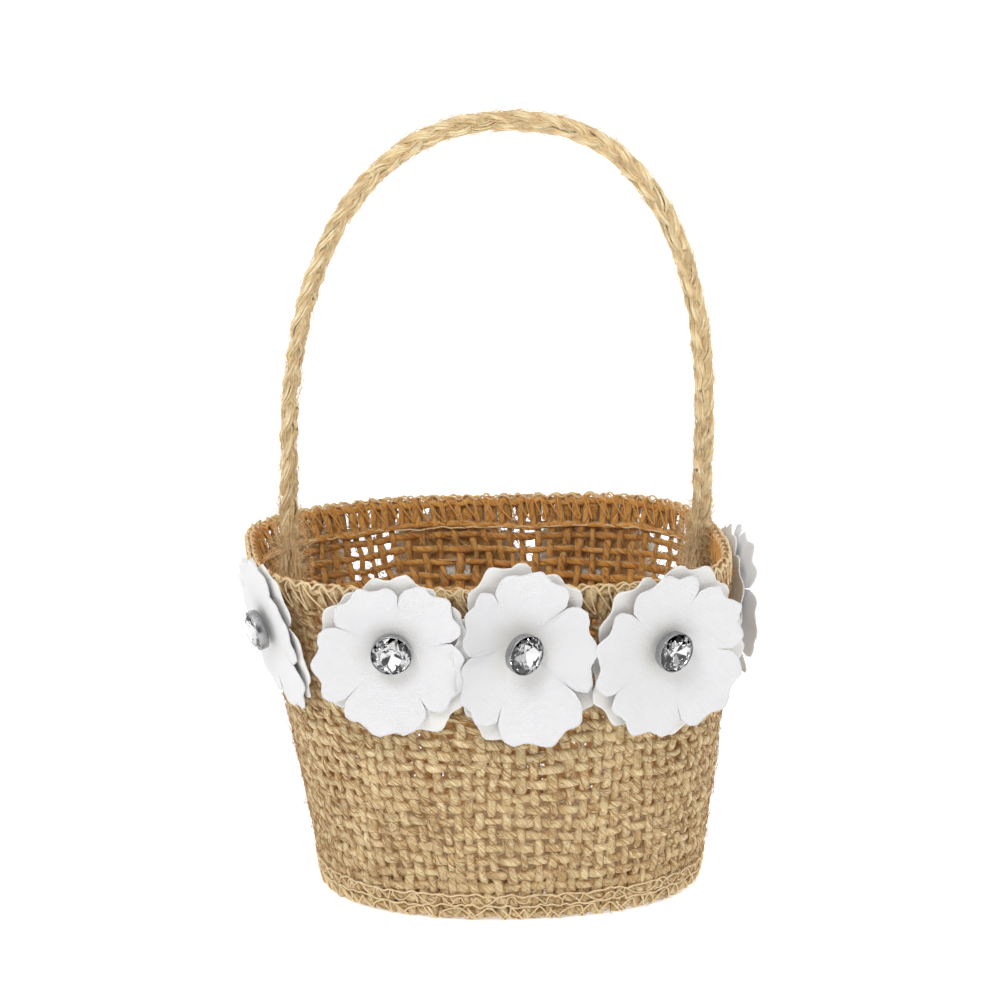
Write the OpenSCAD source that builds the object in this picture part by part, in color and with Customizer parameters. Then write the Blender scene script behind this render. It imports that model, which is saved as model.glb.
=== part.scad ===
// Small flower girl basket: a soft burlap bag with serged edges, a plaited jute
// handle stiffened by a wire, and a ring of cloth flowers with clear stones.
// +Z is up, +X runs along the long side of the mouth, the front faces -Y.

/* [Bag] */
// Height of the burlap wall, edge to edge
wall_h = 77.4; // [70:0.2:86]
// Width of the mouth from side to side
mouth_w = 108.2; // [104:0.2:114]
// Depth of the mouth from front to back
mouth_d = 92; // [86:1:98]
// Squareness of the mouth outline (2 is an ellipse)
mouth_square = 3.1; // [2.6:0.1:3.6]
// How much squarer the back right corner of the mouth is, and how much rounder the back left one
mouth_skew = 0.6; // [0:0.05:0.6]
// Width of the base from side to side
base_w = 86.2; // [80:0.2:90]
// Depth of the base from front to back
base_d = 68; // [62:1:74]
// Squareness of the base outline (2 is an ellipse)
base_square = 2.2; // [2:0.1:2.8]
// Sideways lean of the soft mouth against the base
lean = 5.2; // [0:0.2:6]
// Thickness of the burlap
cloth_t = 1.5; // [1.1:0.1:1.8]
// Thickness of the stiffening card on the floor of the bag
card_t = 1; // [0.6:0.1:1.6]

/* [Sewing] */
// Height of the serged band at both edges
serge_h = 6.5; // [4:0.5:8]
// Thickness of the thread in the serged bands
serge_t = 0.6; // [0.4:0.1:0.8]
// Number of straight stitches round the mouth
rim_stitches = 72; // [40:2:96]
// Number of straight stitches round the base
base_stitches = 60; // [40:2:96]
// Width of the turned seam allowance inside the right side
seam_w = 7; // [5:0.5:8]

/* [Handle] */
// Half the distance between the two legs
handle_half = 47; // [45:0.1:47.4]
// Height of the centre of the plait at the top of the arch
handle_top = 172.8; // [150:0.2:190]
// Height at which the straight legs turn into the arch
leg_top = 100; // [92:1:110]
// Squareness of the arch (2 is an ellipse)
arch_square = 2.3; // [2:0.02:2.6]
// Sideways lean of the top of the arch
handle_lean = 2.4; // [0:0.2:4]
// Place of the handle's plane behind the middle of the bag
handle_y = 4; // [0:0.5:8]
// Radius of each jute strand
strand_r = 0.95; // [0.8:0.05:1]
// Sideways swing of the strands in the plait
plait_w = 1.45; // [1.4:0.05:1.6]
// Swing of the strands through the plait
plait_t = 0.85; // [0.8:0.05:1]
// Length of one full turn of the plait
plait_pitch = 18; // [15:1:24]
// Radius of the stiffening wire
wire_r = 0.4; // [0.3:0.05:0.5]
// Height of the lower end of the frayed feet
foot_z = 59; // [57:1:64]
// Length of the frayed feet
foot_len = 20; // [16:1:22]

/* [Flowers] */
// Number of petals in a layer
petals = 5; // [4:1:7]
// Thickness of the petal cloth with its stiffening
petal_t = 0.6; // [0.4:0.1:0.8]
// Radius of the stone
stone_r = 4.1; // [3:0.1:4.4]
// Radius of the silver setting
cup_r = 4.5; // [4.5:0.1:5]

/* [Hidden] */
// Each flower: name, bearing round the bag, height, petal length, side narrowing, spin, turn of the stone
FLOWERS = [
    ["front_left", 239.2, 66.2, 18.4, 0.08, 10, 4],
    ["front_middle", 270.6, 66.4, 21.4, 0.22, 40, 30],
    ["front_right", 309.2, 64.2, 20, 0.03, 66, 6],
    ["right_side", 7.6, 63.6, 18, 0.06, 20, 2],
    ["back_right", 56.3, 60.4, 17.2, 0.08, 52, 8],
    ["back_middle", 95.8, 60.8, 17.4, 0.1, 31, -5],
    ["back_left", 140, 60, 17.2, 0.1, 5, 6],
    ["left_side", 205, 66.8, 18, 0.06, 47, -3]
];
LAYERS = ["lower_petals", "upper_petals", "stone_setting", "stone"];

gap = 0.12;                     // clearance between touching cloth parts
edge = serge_t + gap;           // the cloth starts this high above the table
centring = [1.9, 0.8, 0];       // moves the middle of the whole basket's box over the origin
ROUND = 64;                     // points round the bag
TALL = 10;                      // steps up the wall
mouth_a = mouth_w / 2;
mouth_b = mouth_d / 2;
base_a = base_w / 2;
base_b = base_d / 2;
base_left = lean / 2 - base_a;
base_right = lean / 2 + base_a;
mouth_left = -lean / 2 - mouth_a;
mouth_right = -lean / 2 + mouth_a;

// ---- Outline of the bag: u runs from 0 at the table to 1 at the rim ----
function mix(a, b, k) = a + (b - a) * k;
function left_x(u) = mix(base_left, mouth_left, 0.87 * u + 0.13 * pow(u, 4));
function right_x(u) = mix(base_right, mouth_right, pow(u, 0.6));
function depth(u) = mix(base_b, mouth_b, pow(u, 0.75));
function squareness(u, bearing) =
    mix(base_square, mouth_square + mouth_skew * max(0, sin(bearing)) * cos(bearing) * 2, u);
function reach(bearing, a, b, n) =
    1 / pow(pow(abs(cos(bearing)) / a, n) + pow(abs(sin(bearing)) / b, n), 1 / n);
// A point of the bag: bearing round it, height share u, distance "inset" inside the outer face
function bag_point(bearing, u, inset) =
    let (
        v = min(1, max(0, u)),
        middle = (left_x(v) + right_x(v)) / 2,
        a = (right_x(v) - left_x(v)) / 2 - inset,
        b = depth(v) - inset,
        r = reach(bearing, a, b, squareness(v, bearing))
    )
    [middle + r * cos(bearing), r * sin(bearing), edge + u * wall_h];
function u_at(z) = (z - edge) / wall_h;

// ---- Vector helpers ----
function unit(v) = v / norm(v);

// ---- Solids from rings of points ----
// Closed ring of rings: the last ring joins the first, as in a band round the bag
module ring_of_rings(rings) {
    m = len(rings);
    k = len(rings[0]);
    points = [for (ring = rings) for (p = ring) p];
    faces = [
        for (i = [0:m - 1]) for (j = [0:k - 1])
            let (
                a = i * k + j,
                b = i * k + (j + 1) % k,
                c = ((i + 1) % m) * k + (j + 1) % k,
                d = ((i + 1) % m) * k + j
            )
            for (t = [[a, b, c], [a, c, d]]) t
    ];
    polyhedron(points, faces, convexity = 10);
}

// Stack of rings closed at both ends by a centre point
module stack_of_rings(rings, first, last) {
    m = len(rings);
    k = len(rings[0]);
    points = concat([for (ring = rings) for (p = ring) p], [first, last]);
    sides = [
        for (i = [0:m - 2]) for (j = [0:k - 1])
            let (
                a = i * k + j,
                b = i * k + (j + 1) % k,
                c = (i + 1) * k + (j + 1) % k,
                d = (i + 1) * k + j
            )
            for (t = [[a, b, c], [a, c, d]]) t
    ];
    start = [for (j = [0:k - 1]) [m * k, (j + 1) % k, j]];
    finish = [for (j = [0:k - 1]) [m * k + 1, (m - 1) * k + j, (m - 1) * k + (j + 1) % k]];
    polyhedron(points, concat(start, sides, finish), convexity = 10);
}

function bag_ring(u, inset, k = ROUND) = [for (j = [0:k - 1]) bag_point(-360 * j / k, u, inset)];

// ---- Bag ----
module wall_burlap() {
    outer = [for (i = [0:TALL]) bag_ring(i / TALL, 0)];
    inner = [for (i = [TALL:-1:0]) bag_ring(i / TALL, cloth_t)];
    color("burlywood") ring_of_rings(concat(outer, inner));
}

// The side seam: both edges of the wall cloth turned to one side and serged together
seam_bearing = 17;
seam_spread = seam_w / 2 / 52 * 57.3;
seam_steps = 8;
module seam_flap(near, far, spread, low, high) {
    // one slice of the flap: a thin rectangle between two insets
    bearings = [seam_bearing - spread, seam_bearing + spread];
    rings = [
        for (i = [0:seam_steps])
            let (u = u_at(mix(low, high, i / seam_steps)))
            [
                bag_point(bearings[0], u, near), bag_point(bearings[1], u, near),
                bag_point(bearings[1], u, far), bag_point(bearings[0], u, far)
            ]
    ];
    first = (rings[0][0] + rings[0][2]) / 2;
    last = (rings[seam_steps][0] + rings[seam_steps][2]) / 2;
    stack_of_rings(rings, first, last);
}

seam_low = 11;
seam_high = wall_h - serge_h - 1;
module side_seam_allowance() {
    color("burlywood") seam_flap(cloth_t + gap, cloth_t + 1.2, seam_spread, seam_low, seam_high);
}

module side_seam_thread() {
    rows = 20;
    color("tan")
        for (i = [0:rows - 1]) {
            z = mix(seam_low + 1.5, seam_high - 1.5, i / (rows - 1));
            a = bag_point(seam_bearing - seam_spread, u_at(z - 0.6), cloth_t + 1.8);
            b = bag_point(seam_bearing + seam_spread, u_at(z + 0.6), cloth_t + 1.8);
            rod(a, b, 0.3);
        }
}

// Straight round rod between two points
module rod(a, b, r) {
    v = b - a;
    translate(a)
        rotate([0, acos(v[2] / norm(v)), atan2(v[1], v[0])])
            cylinder(h = norm(v), r = r, $fn = 16);
}

// The base: an oval of burlap whose edge is turned down inside the wall
base_top = serge_h + 0.9;
base_inset = cloth_t + gap;
skirt_t = 1.2;
module base_burlap() {
    low = 0;
    bend = u_at(base_top - 1.2);
    flat = u_at(base_top);
    under = u_at(base_top - skirt_t);
    inner = base_inset + skirt_t;
    rings = [
        bag_ring(u_at(base_top - 0.2), base_inset + 5),
        bag_ring(flat, base_inset + 1.4),
        bag_ring(bend, base_inset),
        bag_ring(low, base_inset),
        bag_ring(low, inner),
        bag_ring(u_at(base_top - skirt_t - 1.2), inner),
        bag_ring(under, inner + 1.2),
        bag_ring(u_at(base_top - skirt_t - 0.2), base_inset + 6)
    ];
    middle = lean / 2;
    color("burlywood")
        stack_of_rings(rings, [middle, 0, base_top - 0.4], [middle, 0, base_top - 0.4 - skirt_t]);
}

card_inset = base_inset + 3.2;
module base_card() {
    z = base_top + gap;
    outline = [for (p = bag_ring(u_at(z), card_inset)) [p[0], p[1]]];
    color("ivory") translate([0, 0, z]) linear_extrude(card_t) polygon(outline);
}

// ---- Serged edges ----
// A band of thread folded over an edge of the cloth. side is 1 over the rim, -1 under the base
module serged_band(u_edge, u_far, side, inside) {
    lip = (serge_t + gap) / wall_h * side;
    near = gap / wall_h * side;
    out = -gap - serge_t;
    rings = [
        bag_ring(u_far, out), bag_ring(u_edge, out), bag_ring(u_edge + lip, out + 0.35),
        bag_ring(u_edge + lip, inside + gap + serge_t - 0.35),
        bag_ring(u_edge, inside + gap + serge_t), bag_ring(u_far, inside + gap + serge_t),
        bag_ring(u_far, inside + gap), bag_ring(u_edge + near, inside + gap),
        bag_ring(u_edge + near, -gap), bag_ring(u_far, -gap)
    ];
    ring_of_rings(side > 0 ? rings : [for (i = [len(rings) - 1:-1:0]) rings[i]]);
}

module rim_serging_thread() {
    color("sandybrown") serged_band(1, 1 - serge_h / wall_h, 1, cloth_t);
}

module base_serging_thread() {
    color("sandybrown") serged_band(0, (serge_h - 1.6) / wall_h, -1, base_inset + skirt_t);
}

// A row of straight stitches round the bag, standing on one face of the cloth
module stitch_row(count, z, inset, length, r) {
    for (j = [0:count - 1]) {
        bearing = 360 * (j + 0.5) / count;
        here = bag_point(bearing, u_at(z), inset);
        next = bag_point(bearing + 0.5, u_at(z), inset);
        along = unit(next - here) * length / 2;
        rod(here - along, here + along, r);
    }
}

thread_r = 0.25;
module rim_straight_stitches() {
    color("sandybrown")
        stitch_row(rim_stitches, wall_h - serge_h, cloth_t + gap + thread_r + 0.1, 3, thread_r);
}

module base_straight_stitches() {
    color("sandybrown")
        stitch_row(base_stitches, serge_h + 0.6, -gap - thread_r - 0.15, 2.6, thread_r);
}

// ---- Handle ----
arch_h = handle_top - leg_top;
plait_start = foot_z + foot_len + 0.3;
leg_len = leg_top - plait_start;
function arch_r(a) = reach(a, handle_half, arch_h, arch_square);
// The arch leans to one side, more and more towards the top
function lean_at(z) = handle_lean * pow(max(0, (z - plait_start) / (handle_top - plait_start)), 1.5);
// Point of the centre line: t below 0 is the left leg, 0 to 180 the arch, above 180 the right leg
function upright_point(t) =
    t < 0 ? [-handle_half, handle_y, leg_top + t]
    : t > 180 ? [handle_half, handle_y, leg_top - (t - 180)]
    : [-arch_r(t) * cos(t), handle_y, leg_top + arch_r(t) * sin(t)];
function handle_point(t) =
    let (p = upright_point(t))
    [p[0] + lean_at(p[2]), p[1], p[2]];
function handle_along(t) = unit(handle_point(t + 0.5) - handle_point(t - 0.5));
// The steps along the line, in the same units as handle_point
LEG_STEPS = 8;
ARCH_STEPS = 56;
handle_steps = concat(
    [for (i = [0:LEG_STEPS - 1]) -leg_len * (1 - i / LEG_STEPS)],
    [for (i = [0:ARCH_STEPS]) 180 * i / ARCH_STEPS],
    [for (i = [1:LEG_STEPS]) 180 + leg_len * i / LEG_STEPS]
);
// Length walked along the line up to each step, which sets the phase of the plait
function walked(i) =
    i == 0 ? [0]
    : let (before = walked(i - 1))
      concat(before, [before[i - 1] + norm(handle_point(handle_steps[i]) - handle_point(handle_steps[i - 1]))]);
handle_walk = walked(len(handle_steps) - 1);
// Centre of a strand at step i: it swings across and through the plait
function strand_point(i, k) =
    let (
        t = handle_steps[i],
        d = handle_along(t),
        side = [d[2], 0, -d[0]],
        phase = 360 * handle_walk[i] / plait_pitch + 120 * k
    )
    handle_point(t) + side * plait_w * sin(phase) + [0, plait_t * sin(2 * phase), 0];
function tube_ring(p, d, r, sides) =
    let (across = unit([d[2], 0, -d[0]]), deep = cross(d, across))
    [for (j = [0:sides - 1]) p + r * (across * cos(360 * j / sides) + deep * sin(360 * j / sides))];
function strand_rings(k, r, sides) =
    let (last = len(handle_steps) - 1)
    [
        for (i = [0:last])
            let (
                ahead = strand_point(min(last, i + 1), k),
                behind = strand_point(max(0, i - 1), k)
            )
            tube_ring(strand_point(i, k), unit(ahead - behind), r, sides)
    ];

module solid_strand(k) {
    last = len(handle_steps) - 1;
    stack_of_rings(strand_rings(k, strand_r, 6), strand_point(0, k), strand_point(last, k));
}

// The first strand is spun round the wire
module handle_strand_1() {
    outer = strand_rings(0, strand_r, 8);
    bore = strand_rings(0, wire_r + 0.08, 8);
    n = len(outer) - 1;
    color("peru") ring_of_rings(concat(outer, [for (i = [n:-1:0]) bore[i]]));
}

module handle_strand_2() {
    color("burlywood") solid_strand(1);
}

module handle_strand_3() {
    color("tan") solid_strand(2);
}

// The wire follows the first strand and ends inside the frayed feet
module handle_wire() {
    last = len(handle_steps) - 1;
    start = strand_point(0, 0);
    finish = strand_point(last, 0);
    rings = strand_rings(0, wire_r, 8);
    tail = foot_len - 3;
    low_left = tube_ring(foot_centre(-1, tail), [0, 0, 1], wire_r, 8);
    low_right = tube_ring(foot_centre(1, tail), [0, 0, -1], wire_r, 8);
    up_left = tube_ring([start[0], start[1], start[2] - 0.3], [0, 0, 1], wire_r, 8);
    up_right = tube_ring([finish[0], finish[1], finish[2] - 0.3], [0, 0, -1], wire_r, 8);
    color("silver")
        stack_of_rings(
            concat([low_left, up_left], rings, [up_right, low_right]),
            foot_centre(-1, tail), foot_centre(1, tail)
        );
}

// Centre of a foot, "down" millimetres below its upper end. side is -1 left, 1 right
foot_slip = [-0.9, -1];
function foot_top(side) = side < 0 ? strand_point(0, 0) : strand_point(len(handle_steps) - 1, 0);
function foot_centre(side, down) =
    let (top = foot_top(side), slip = side < 0 ? foot_slip[0] : foot_slip[1])
    [top[0] + slip * down / foot_len, top[1], foot_z + foot_len - down];

foot_r_top = 2.3;
foot_r_low = 2.7;
module frayed_foot(side) {
    levels = [0, 0.3, 0.65, 1];
    radii = [foot_r_top, foot_r_top + 0.3, foot_r_low, foot_r_low];
    outer = [
        for (i = [0:3])
            tube_ring(foot_centre(side, foot_len * levels[i]), [0, 0, -1], radii[i], 16)
    ];
    bore = [
        for (i = [3:-1:0])
            tube_ring(foot_centre(side, foot_len * levels[i]), [0, 0, -1], wire_r + 0.1, 16)
    ];
    ring_of_rings(concat(outer, bore));
}

module handle_frayed_foot_left() {
    color("burlywood") frayed_foot(-1);
}

module handle_frayed_foot_right() {
    color("burlywood") frayed_foot(1);
}

// Three thread loops hold each foot to the wall
stitch_r = 0.3;
module foot_stitches(side) {
    for (down = [8, 12, 16]) {
        c = foot_centre(side, down);
        over = foot_r_low + stitch_r + 0.15;
        face = side < 0 ? left_inner(c) : right_inner(c);
        near = [c[0] - side * over, c[1], c[2]];
        for (way = [-1, 1]) {
            corner = near + [0, way * over, 0];
            rod(near, corner, stitch_r);
            translate(corner) sphere(stitch_r, $fn = 16);
            rod(corner, [face - side * 0.35, corner[1], corner[2] + 0.4], stitch_r);
        }
    }
}

// Inner face of the wall beside a point, measured where the stitches reach it
function left_inner(p) = left_x(u_at(p[2])) + cloth_t + 0.1;
function right_inner(p) = right_x(u_at(p[2])) - cloth_t - 0.1;

module handle_stitches_left() {
    color("tan") foot_stitches(-1);
}

module handle_stitches_right() {
    color("tan") foot_stitches(1);
}

// ---- Flowers ----
glue_t = 1;
layer_gap = 0.45;
lower_z = glue_t + 2 * gap;
upper_z = lower_z + petal_t + layer_gap;
cup_z = upper_z + petal_t + gap;
flat_r = cup_r + 0.7;           // the middle of a flower lies flat under the setting
STEPS_ROUND = 40;
petal_rings = [0.42, 0.68, 0.86, 1];

// Place children on the wall at a flower's bearing and height, local z pointing outwards
module on_wall(f) {
    u = u_at(f[2]);
    here = bag_point(f[1], u, 0);
    along = bag_point(f[1] + 1, u, 0) - bag_point(f[1] - 1, u, 0);
    up = bag_point(f[1], u + 0.02, 0) - bag_point(f[1], u - 0.02, 0);
    n = unit(cross(along, up));
    translate(here)
        rotate([90 - asin(n[2]), 0, atan2(n[1], n[0]) + 90])
            children();
}

// Outer edge of a layer of petals: lobes with rounded, faintly scalloped ends
function lobe_edge(angle, length, spin) =
    let (
        step = 360 / petals,
        x = (angle - spin) / step,
        off = abs(x - round(x)),
        notch = 0.3 * exp(-pow(off / 0.1, 2)),
        crown = 0.06 * cos(360 * (x - 0.5)),
        scallop = 0.025 * cos(3 * 360 * (x - 0.5))
    )
    length * (0.95 - notch + crown + scallop);
// Height of the cloth above the flat middle: petals rise and bend, each a little apart
function lift(share, angle, rise, spin) =
    rise * pow(max(0, share - 0.28) / 0.72, 1.5) * (1 + 0.18 * cos(petals * (angle - spin) + 180))
    + 0.35 * share * sin(2 * angle + spin);

module petal_layer(length, narrow, spin, z0, rise) {
    function rim(angle) = lobe_edge(angle, length, spin);
    function cloth(angle, share, z) =
        let (
            r = max(flat_r * 0.9, share * rim(angle)),
            side = 1 - narrow * pow(cos(angle), 2) * share
        )
        [
            r * cos(angle) * side, r * sin(angle),
            z + max(0, lift(share, angle, rise, spin)) + narrow * 9 * pow(share * cos(angle), 2)
        ];
    angles = [for (j = [0:STEPS_ROUND - 1]) 360 * j / STEPS_ROUND];
    top = [for (s = petal_rings) [for (a = angles) cloth(a, s, z0 + petal_t)]];
    low = [for (i = [len(petal_rings) - 1:-1:0]) [for (a = angles) cloth(a, petal_rings[i], z0)]];
    rings = concat(top, low);
    turned = [for (ring = rings) [for (j = [len(ring) - 1:-1:0]) ring[j]]];
    stack_of_rings(turned, [0, 0, z0 + petal_t], [0, 0, z0]);
}

module lower_petals(f) {
    color("white") on_wall(f) petal_layer(f[3], f[4], f[5], lower_z, 1.6);
}

module upper_petals(f) {
    color("snow") on_wall(f) petal_layer(f[3] * 0.95, f[4], f[5] + 180 / petals, upper_z, 3.2);
}

// The stone and its setting lean together about the edge that sits deepest
module on_flower(f) {
    turn = f[6];
    pivot = turn >= 0 ? cup_r : -cup_r;
    on_wall(f) translate([pivot, 0, cup_z]) rotate([0, turn, 0]) translate([-pivot, 0, 0]) children();
}

cup_h = 2.4;
girdle_z = 2;
module stone_setting(f) {
    color("silver") on_flower(f)
        rotate_extrude($fn = 48)
            polygon([
                [0, 0], [cup_r - 0.5, 0], [cup_r, 0.5], [cup_r, cup_h], [stone_r + 0.06, cup_h],
                [stone_r + 0.06, girdle_z - 0.2], [1.6, 0.35], [0, 0.35]
            ]);
}

module stone(f) {
    table_r = stone_r * 0.56;
    culet_z = 0.45;
    color("lightcyan") on_flower(f)
        rotate_extrude($fn = 48)
            polygon([
                [0, culet_z + 0.25], [1, culet_z + 0.25], [stone_r, girdle_z - 0.1], [stone_r, girdle_z + 0.15],
                [table_r, girdle_z + 1.5], [0, girdle_z + 1.5]
            ]);
}

module flower_glue_dots() {
    color("whitesmoke")
        for (f = FLOWERS)
            on_wall(f) translate([0, 0, gap]) cylinder(h = glue_t, r = 3, $fn = 32);
}

module flower_node(f, layer) {
    if (layer == "lower_petals") lower_petals(f);
    if (layer == "upper_petals") upper_petals(f);
    if (layer == "stone_setting") stone_setting(f);
    if (layer == "stone") stone(f);
}

// The mouth leans to one side, so everything is moved until its box is centred over the origin
translate(centring) {
    wall_burlap();
    side_seam_allowance();
    side_seam_thread();
    base_burlap();
    base_card();
    rim_serging_thread();
    rim_straight_stitches();
    base_serging_thread();
    base_straight_stitches();
    handle_wire();
    handle_strand_1();
    handle_strand_2();
    handle_strand_3();
    handle_frayed_foot_left();
    handle_frayed_foot_right();
    handle_stitches_left();
    handle_stitches_right();
    flower_glue_dots();
    for (f = FLOWERS) for (layer = LAYERS)
        flower_node(f, layer);
}
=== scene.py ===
# %% [markdown]
# # A flower girl basket
# A little bag of loosely woven burlap, sewn over at both edges, with a plaited jute handle
# and a ring of white cloth flowers. Each flower carries a cut stone in a silver cup.
# The CAD model gives every size and place. Here each soft part gets its real make-up:
# yarns that pass over and under each other, sewing thread that loops over the edge,
# strands of fibre in the plait, and petals cut from thin cloth.
# The script works in millimetres and turns them into metres when it makes a mesh.

# %% Load the frame
import math
import bpy
import numpy as np
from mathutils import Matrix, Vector


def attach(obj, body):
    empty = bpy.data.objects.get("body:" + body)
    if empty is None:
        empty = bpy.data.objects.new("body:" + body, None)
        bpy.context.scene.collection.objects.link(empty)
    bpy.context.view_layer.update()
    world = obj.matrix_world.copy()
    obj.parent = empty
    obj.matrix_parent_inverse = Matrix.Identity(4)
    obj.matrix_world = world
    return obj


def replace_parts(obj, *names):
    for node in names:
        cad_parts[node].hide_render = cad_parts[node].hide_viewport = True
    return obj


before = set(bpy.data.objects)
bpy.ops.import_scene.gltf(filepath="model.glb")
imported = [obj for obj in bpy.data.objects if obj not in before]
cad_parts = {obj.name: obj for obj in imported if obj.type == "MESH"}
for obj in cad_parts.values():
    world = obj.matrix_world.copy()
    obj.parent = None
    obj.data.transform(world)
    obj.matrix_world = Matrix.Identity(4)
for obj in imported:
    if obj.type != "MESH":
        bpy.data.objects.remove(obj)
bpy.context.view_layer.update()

# %% Measures of the basket, in millimetres, as in the CAD model
MM = 0.001
CENTRING = np.array([1.9, 0.8, 0.0])      # the CAD part is moved by this to centre its box
WALL_H = 77.4
EDGE = 0.72                               # the cloth starts this high above the table
CLOTH_T = 1.5
LEAN = 5.2
BASE_A, BASE_B, BASE_SQUARE = 43.1, 34.0, 2.2
MOUTH_A, MOUTH_B, MOUTH_SQUARE = 54.1, 46.0, 3.1
MOUTH_SKEW = 0.6                          # the back right corner is squarer than the back left
RIM_Z = EDGE + WALL_H
SERGE_H = 6.5

# %% [markdown]
# ## Camera first
# The camera stands 0.8 m off, a little to the left, and looks slightly down. A wide lens
# close by would splay the sides, so it is a long lens from further away, which keeps the
# basket upright. It comes first, since every piece after it is judged from here.

# %% Camera
CAMERA_TURN, CAMERA_RISE = math.radians(6.0), math.radians(12.7)
CAMERA_REACH = 0.8
LENS = 127.9
target = Vector((0.0049, 0.0008, 0.09))
back = Vector((
    -math.sin(CAMERA_TURN) * math.cos(CAMERA_RISE),
    -math.cos(CAMERA_TURN) * math.cos(CAMERA_RISE),
    math.sin(CAMERA_RISE),
))
right = Vector((math.cos(CAMERA_TURN), -math.sin(CAMERA_TURN), 0.0))
up = back.cross(right)
AIM_LEFT, AIM_DOWN = 0.00259, 0.00225     # the basket sits a little right of and above the middle
aim = target - right * AIM_LEFT - up * AIM_DOWN
camera_data = bpy.data.cameras.new("camera")
camera_data.lens = LENS
camera = bpy.data.objects.new("camera", camera_data)
camera.location = target + back * CAMERA_REACH
camera.rotation_euler = (aim - camera.location).to_track_quat("-Z", "Y").to_euler()
bpy.context.scene.collection.objects.link(camera)
bpy.context.scene.camera = camera
print("camera at", [round(x, 4) for x in camera.location])

# %% [markdown]
# ## Studio
# A flat floor would end in a line behind the basket. A sweep of white paper curves up
# instead, so the ground stays plain. One broad lamp above and in front models the yarns, a
# weak one fills the shadows, and one from the back right lights the petals that face away.

# %% Small tools for shader nodes
def put(tree, kind, inputs=None, **settings):
    """Add a node. An input is either a value or another node's output, which is then linked."""
    made = tree.nodes.new(kind)
    for name, value in settings.items():
        setattr(made, name, value)
    for name, value in (inputs or {}).items():
        socket = made.inputs[name]
        if isinstance(value, bpy.types.NodeSocket):
            tree.links.new(value, socket)
        else:
            socket.default_value = value
    return made


def maths(tree, operation, a, b=0.0):
    return put(tree, "ShaderNodeMath", {0: a, 1: b}, operation=operation).outputs[0]


def blend_colour(tree, share, a, b, kind="MIX"):
    node = put(tree, "ShaderNodeMix", data_type="RGBA", blend_type=kind)
    for index, value in ((0, share), (6, a), (7, b)):
        if isinstance(value, bpy.types.NodeSocket):
            tree.links.new(value, node.inputs[index])
        else:
            node.inputs[index].default_value = value
    return node.outputs[2]


def ramp_between(tree, value, low, high):
    node = put(tree, "ShaderNodeMapRange", {"Value": value, "From Min": low, "From Max": high})
    return node.outputs[0]


def rgb(r, g, b):
    """A colour as a painter names it, 0 to 255, turned into the linear values of the shader."""
    linear = [((v / 255 + 0.055) / 1.055) ** 2.4 if v > 10 else v / 255 / 12.92 for v in (r, g, b)]
    return (*linear, 1.0)


def make_material(name, **sockets):
    """A material, its shader with these values (Base_Color sets "Base Color"), and its tree."""
    material = bpy.data.materials.new(name)
    material.use_nodes = True
    shader = material.node_tree.nodes["Principled BSDF"]
    for label, value in sockets.items():
        shader.inputs[label.replace("_", " ")].default_value = value
    return material, shader, material.node_tree


# %% Floor, world and lamps
def white_sweep():
    reach, depth, height, bend = 3.0, 1.6, 2.2, 0.7
    profile = [(-2.2, 0.0)]
    for i in range(17):
        a = math.pi / 2 * i / 16
        profile.append((depth - bend + bend * math.sin(a), bend - bend * math.cos(a)))
    profile.append((depth, height))
    points = [(x, y, z) for y, z in profile for x in (-reach, reach)]
    faces = [(2 * i, 2 * i + 1, 2 * i + 3, 2 * i + 2) for i in range(len(profile) - 1)]
    mesh = bpy.data.meshes.new("paper_sweep")
    mesh.from_pydata(points, [], faces)
    mesh.polygons.foreach_set("use_smooth", [True] * len(faces))
    sweep = bpy.data.objects.new("paper_sweep", mesh)
    bpy.context.scene.collection.objects.link(sweep)
    paper, _, _ = make_material(
        "white_paper", Base_Color=(0.93, 0.93, 0.93, 1), Roughness=0.9, Specular_IOR_Level=0.1,
        Emission_Color=(1, 1, 1, 1), Emission_Strength=0.45)
    mesh.materials.append(paper)


def soft_lamp(name, where, size, watts, aim_at=(0, 0, 0.05)):
    data = bpy.data.lights.new(name, "AREA")
    data.shape = "RECTANGLE"
    data.size, data.size_y = size
    data.energy = watts
    lamp = bpy.data.objects.new(name, data)
    lamp.location = where
    lamp.rotation_euler = (Vector(aim_at) - Vector(where)).to_track_quat("-Z", "Y").to_euler()
    bpy.context.scene.collection.objects.link(lamp)


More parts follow.
